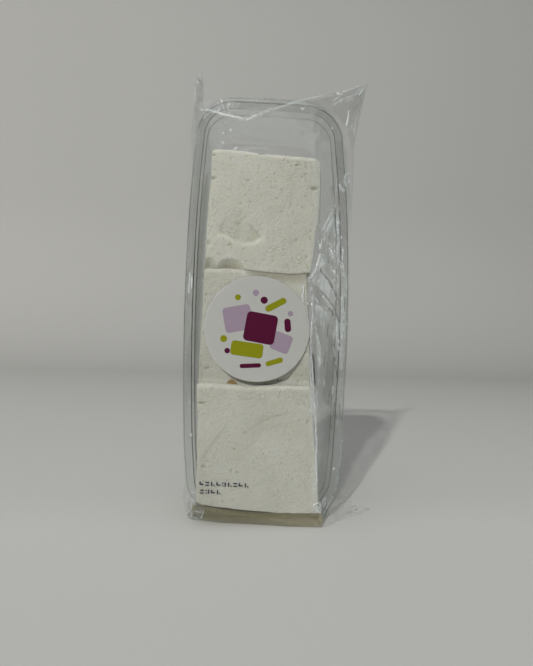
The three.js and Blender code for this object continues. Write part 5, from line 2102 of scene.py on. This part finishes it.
links.new(both.outputs[2], d.inputs["Color"])
links.new(d.outputs[0], out.inputs["Surface"])
bm = bmesh.new()
profile = [(-2.2, 0.0), (0.9, 0.0)]
for k in range(1, 13):
    a = math.radians(90 * k / 12)
    profile.append((0.9 + 0.5 * math.sin(a), 0.5 - 0.5 * math.cos(a)))
profile.append((1.4, 2.4))
rows = [[bm.verts.new((x, y, z)) for y, z in profile] for x in (-2.6, 2.6)]
for i in range(len(profile) - 1):
    bm.faces.new((rows[0][i], rows[1][i], rows[1][i + 1], rows[0][i + 1]))
me = bpy.data.meshes.new("stage_floor")
bm.to_mesh(me)
bm.free()
for poly in me.polygons:
    poly.use_smooth = True
me.materials.append(stage_m)
floor = bpy.data.objects.new("stage_floor", me)
bpy.context.collection.objects.link(floor)


def lamp(name, kind, place, aim, energy, size=None, size_y=None, colour=(1, 1, 1)):
    data = bpy.data.lights.new(name, kind)
    data.energy = energy
    data.color = colour
    if kind == "AREA":
        data.shape = "RECTANGLE"
        data.size = size
        data.size_y = size_y or size
    if kind == "SUN":
        data.angle = size
    o = bpy.data.objects.new(name, data)
    o.location = place
    o.rotation_euler = (Vector(aim) - Vector(place)).to_track_quat("-Z", "Y").to_euler()
    bpy.context.collection.objects.link(o)
    return o


LIGHT = Vector((0.347, 0.814, -0.465)).normalized()
lamp("key", "SUN", -LIGHT * 2, (0, 0, 0), 1.47, math.radians(1.9), colour=(1.0, 0.985, 0.95))
lamp("top_soft", "AREA", (-0.15, -0.5, 1.5), (0, 0.0, 0), 3.0, 1.2, 1.2, colour=(1.0, 1.0, 1.0))
lamp("left_soft", "AREA", (-1.5, -0.9, 0.8), (0, 0, 0.1), 1.2, 1.2, 1.4, colour=(0.97, 1.0, 1.0))
# smaller soft lamps that mostly show as glints in the film
for k, (place, watts) in enumerate(
    (((1.15, -0.75, 0.75), 0.20), ((0.35, -1.25, 1.2), 0.17), ((1.25, -0.15, 0.35), 0.14), ((-0.9, -1.0, 1.1), 0.14))
):
    lamp("glint_%d" % k, "AREA", place, (0.01, 0, 0.12), watts, 0.10, 0.10, colour=(0.93, 0.98, 1.0))

# the room: darker behind the camera than at the sides and above
world = bpy.data.worlds.new("world")
world.use_nodes = True
wn, wl = world.node_tree.nodes, world.node_tree.links
bg = wn["Background"]
w_where = wn.new("ShaderNodeTexCoord")
w_split = wn.new("ShaderNodeSeparateXYZ")
w_map = wn.new("ShaderNodeMath")
w_map.operation = "MULTIPLY_ADD"
w_map.inputs[1].default_value = 0.5
w_map.inputs[2].default_value = 0.5
w_ramp = wn.new("ShaderNodeValToRGB")
w_ramp.color_ramp.elements[0].position = 0.12
w_ramp.color_ramp.elements[0].color = (0.045, 0.047, 0.046, 1)
w_ramp.color_ramp.elements[1].position = 0.5
w_ramp.color_ramp.elements[1].color = (0.20, 0.21, 0.21, 1)
wl.new(w_where.outputs["Generated"], w_split.inputs[0])
wl.new(w_split.outputs["Y"], w_map.inputs[0])
wl.new(w_map.outputs[0], w_ramp.inputs[0])
wl.new(w_ramp.outputs[0], bg.inputs[0])
bg.inputs[1].default_value = 0.74
bpy.context.scene.world = world

scene = bpy.context.scene
scene.view_settings.view_transform = "Standard"
scene.view_settings.look = "None"
scene.view_settings.exposure = 0
scene.view_settings.gamma = 1
scene.cycles.transparent_max_bounces = 32
scene.cycles.max_bounces = 10
scene.cycles.glossy_bounces = 6
scene.cycles.caustics_reflective = False
scene.cycles.caustics_refractive = False
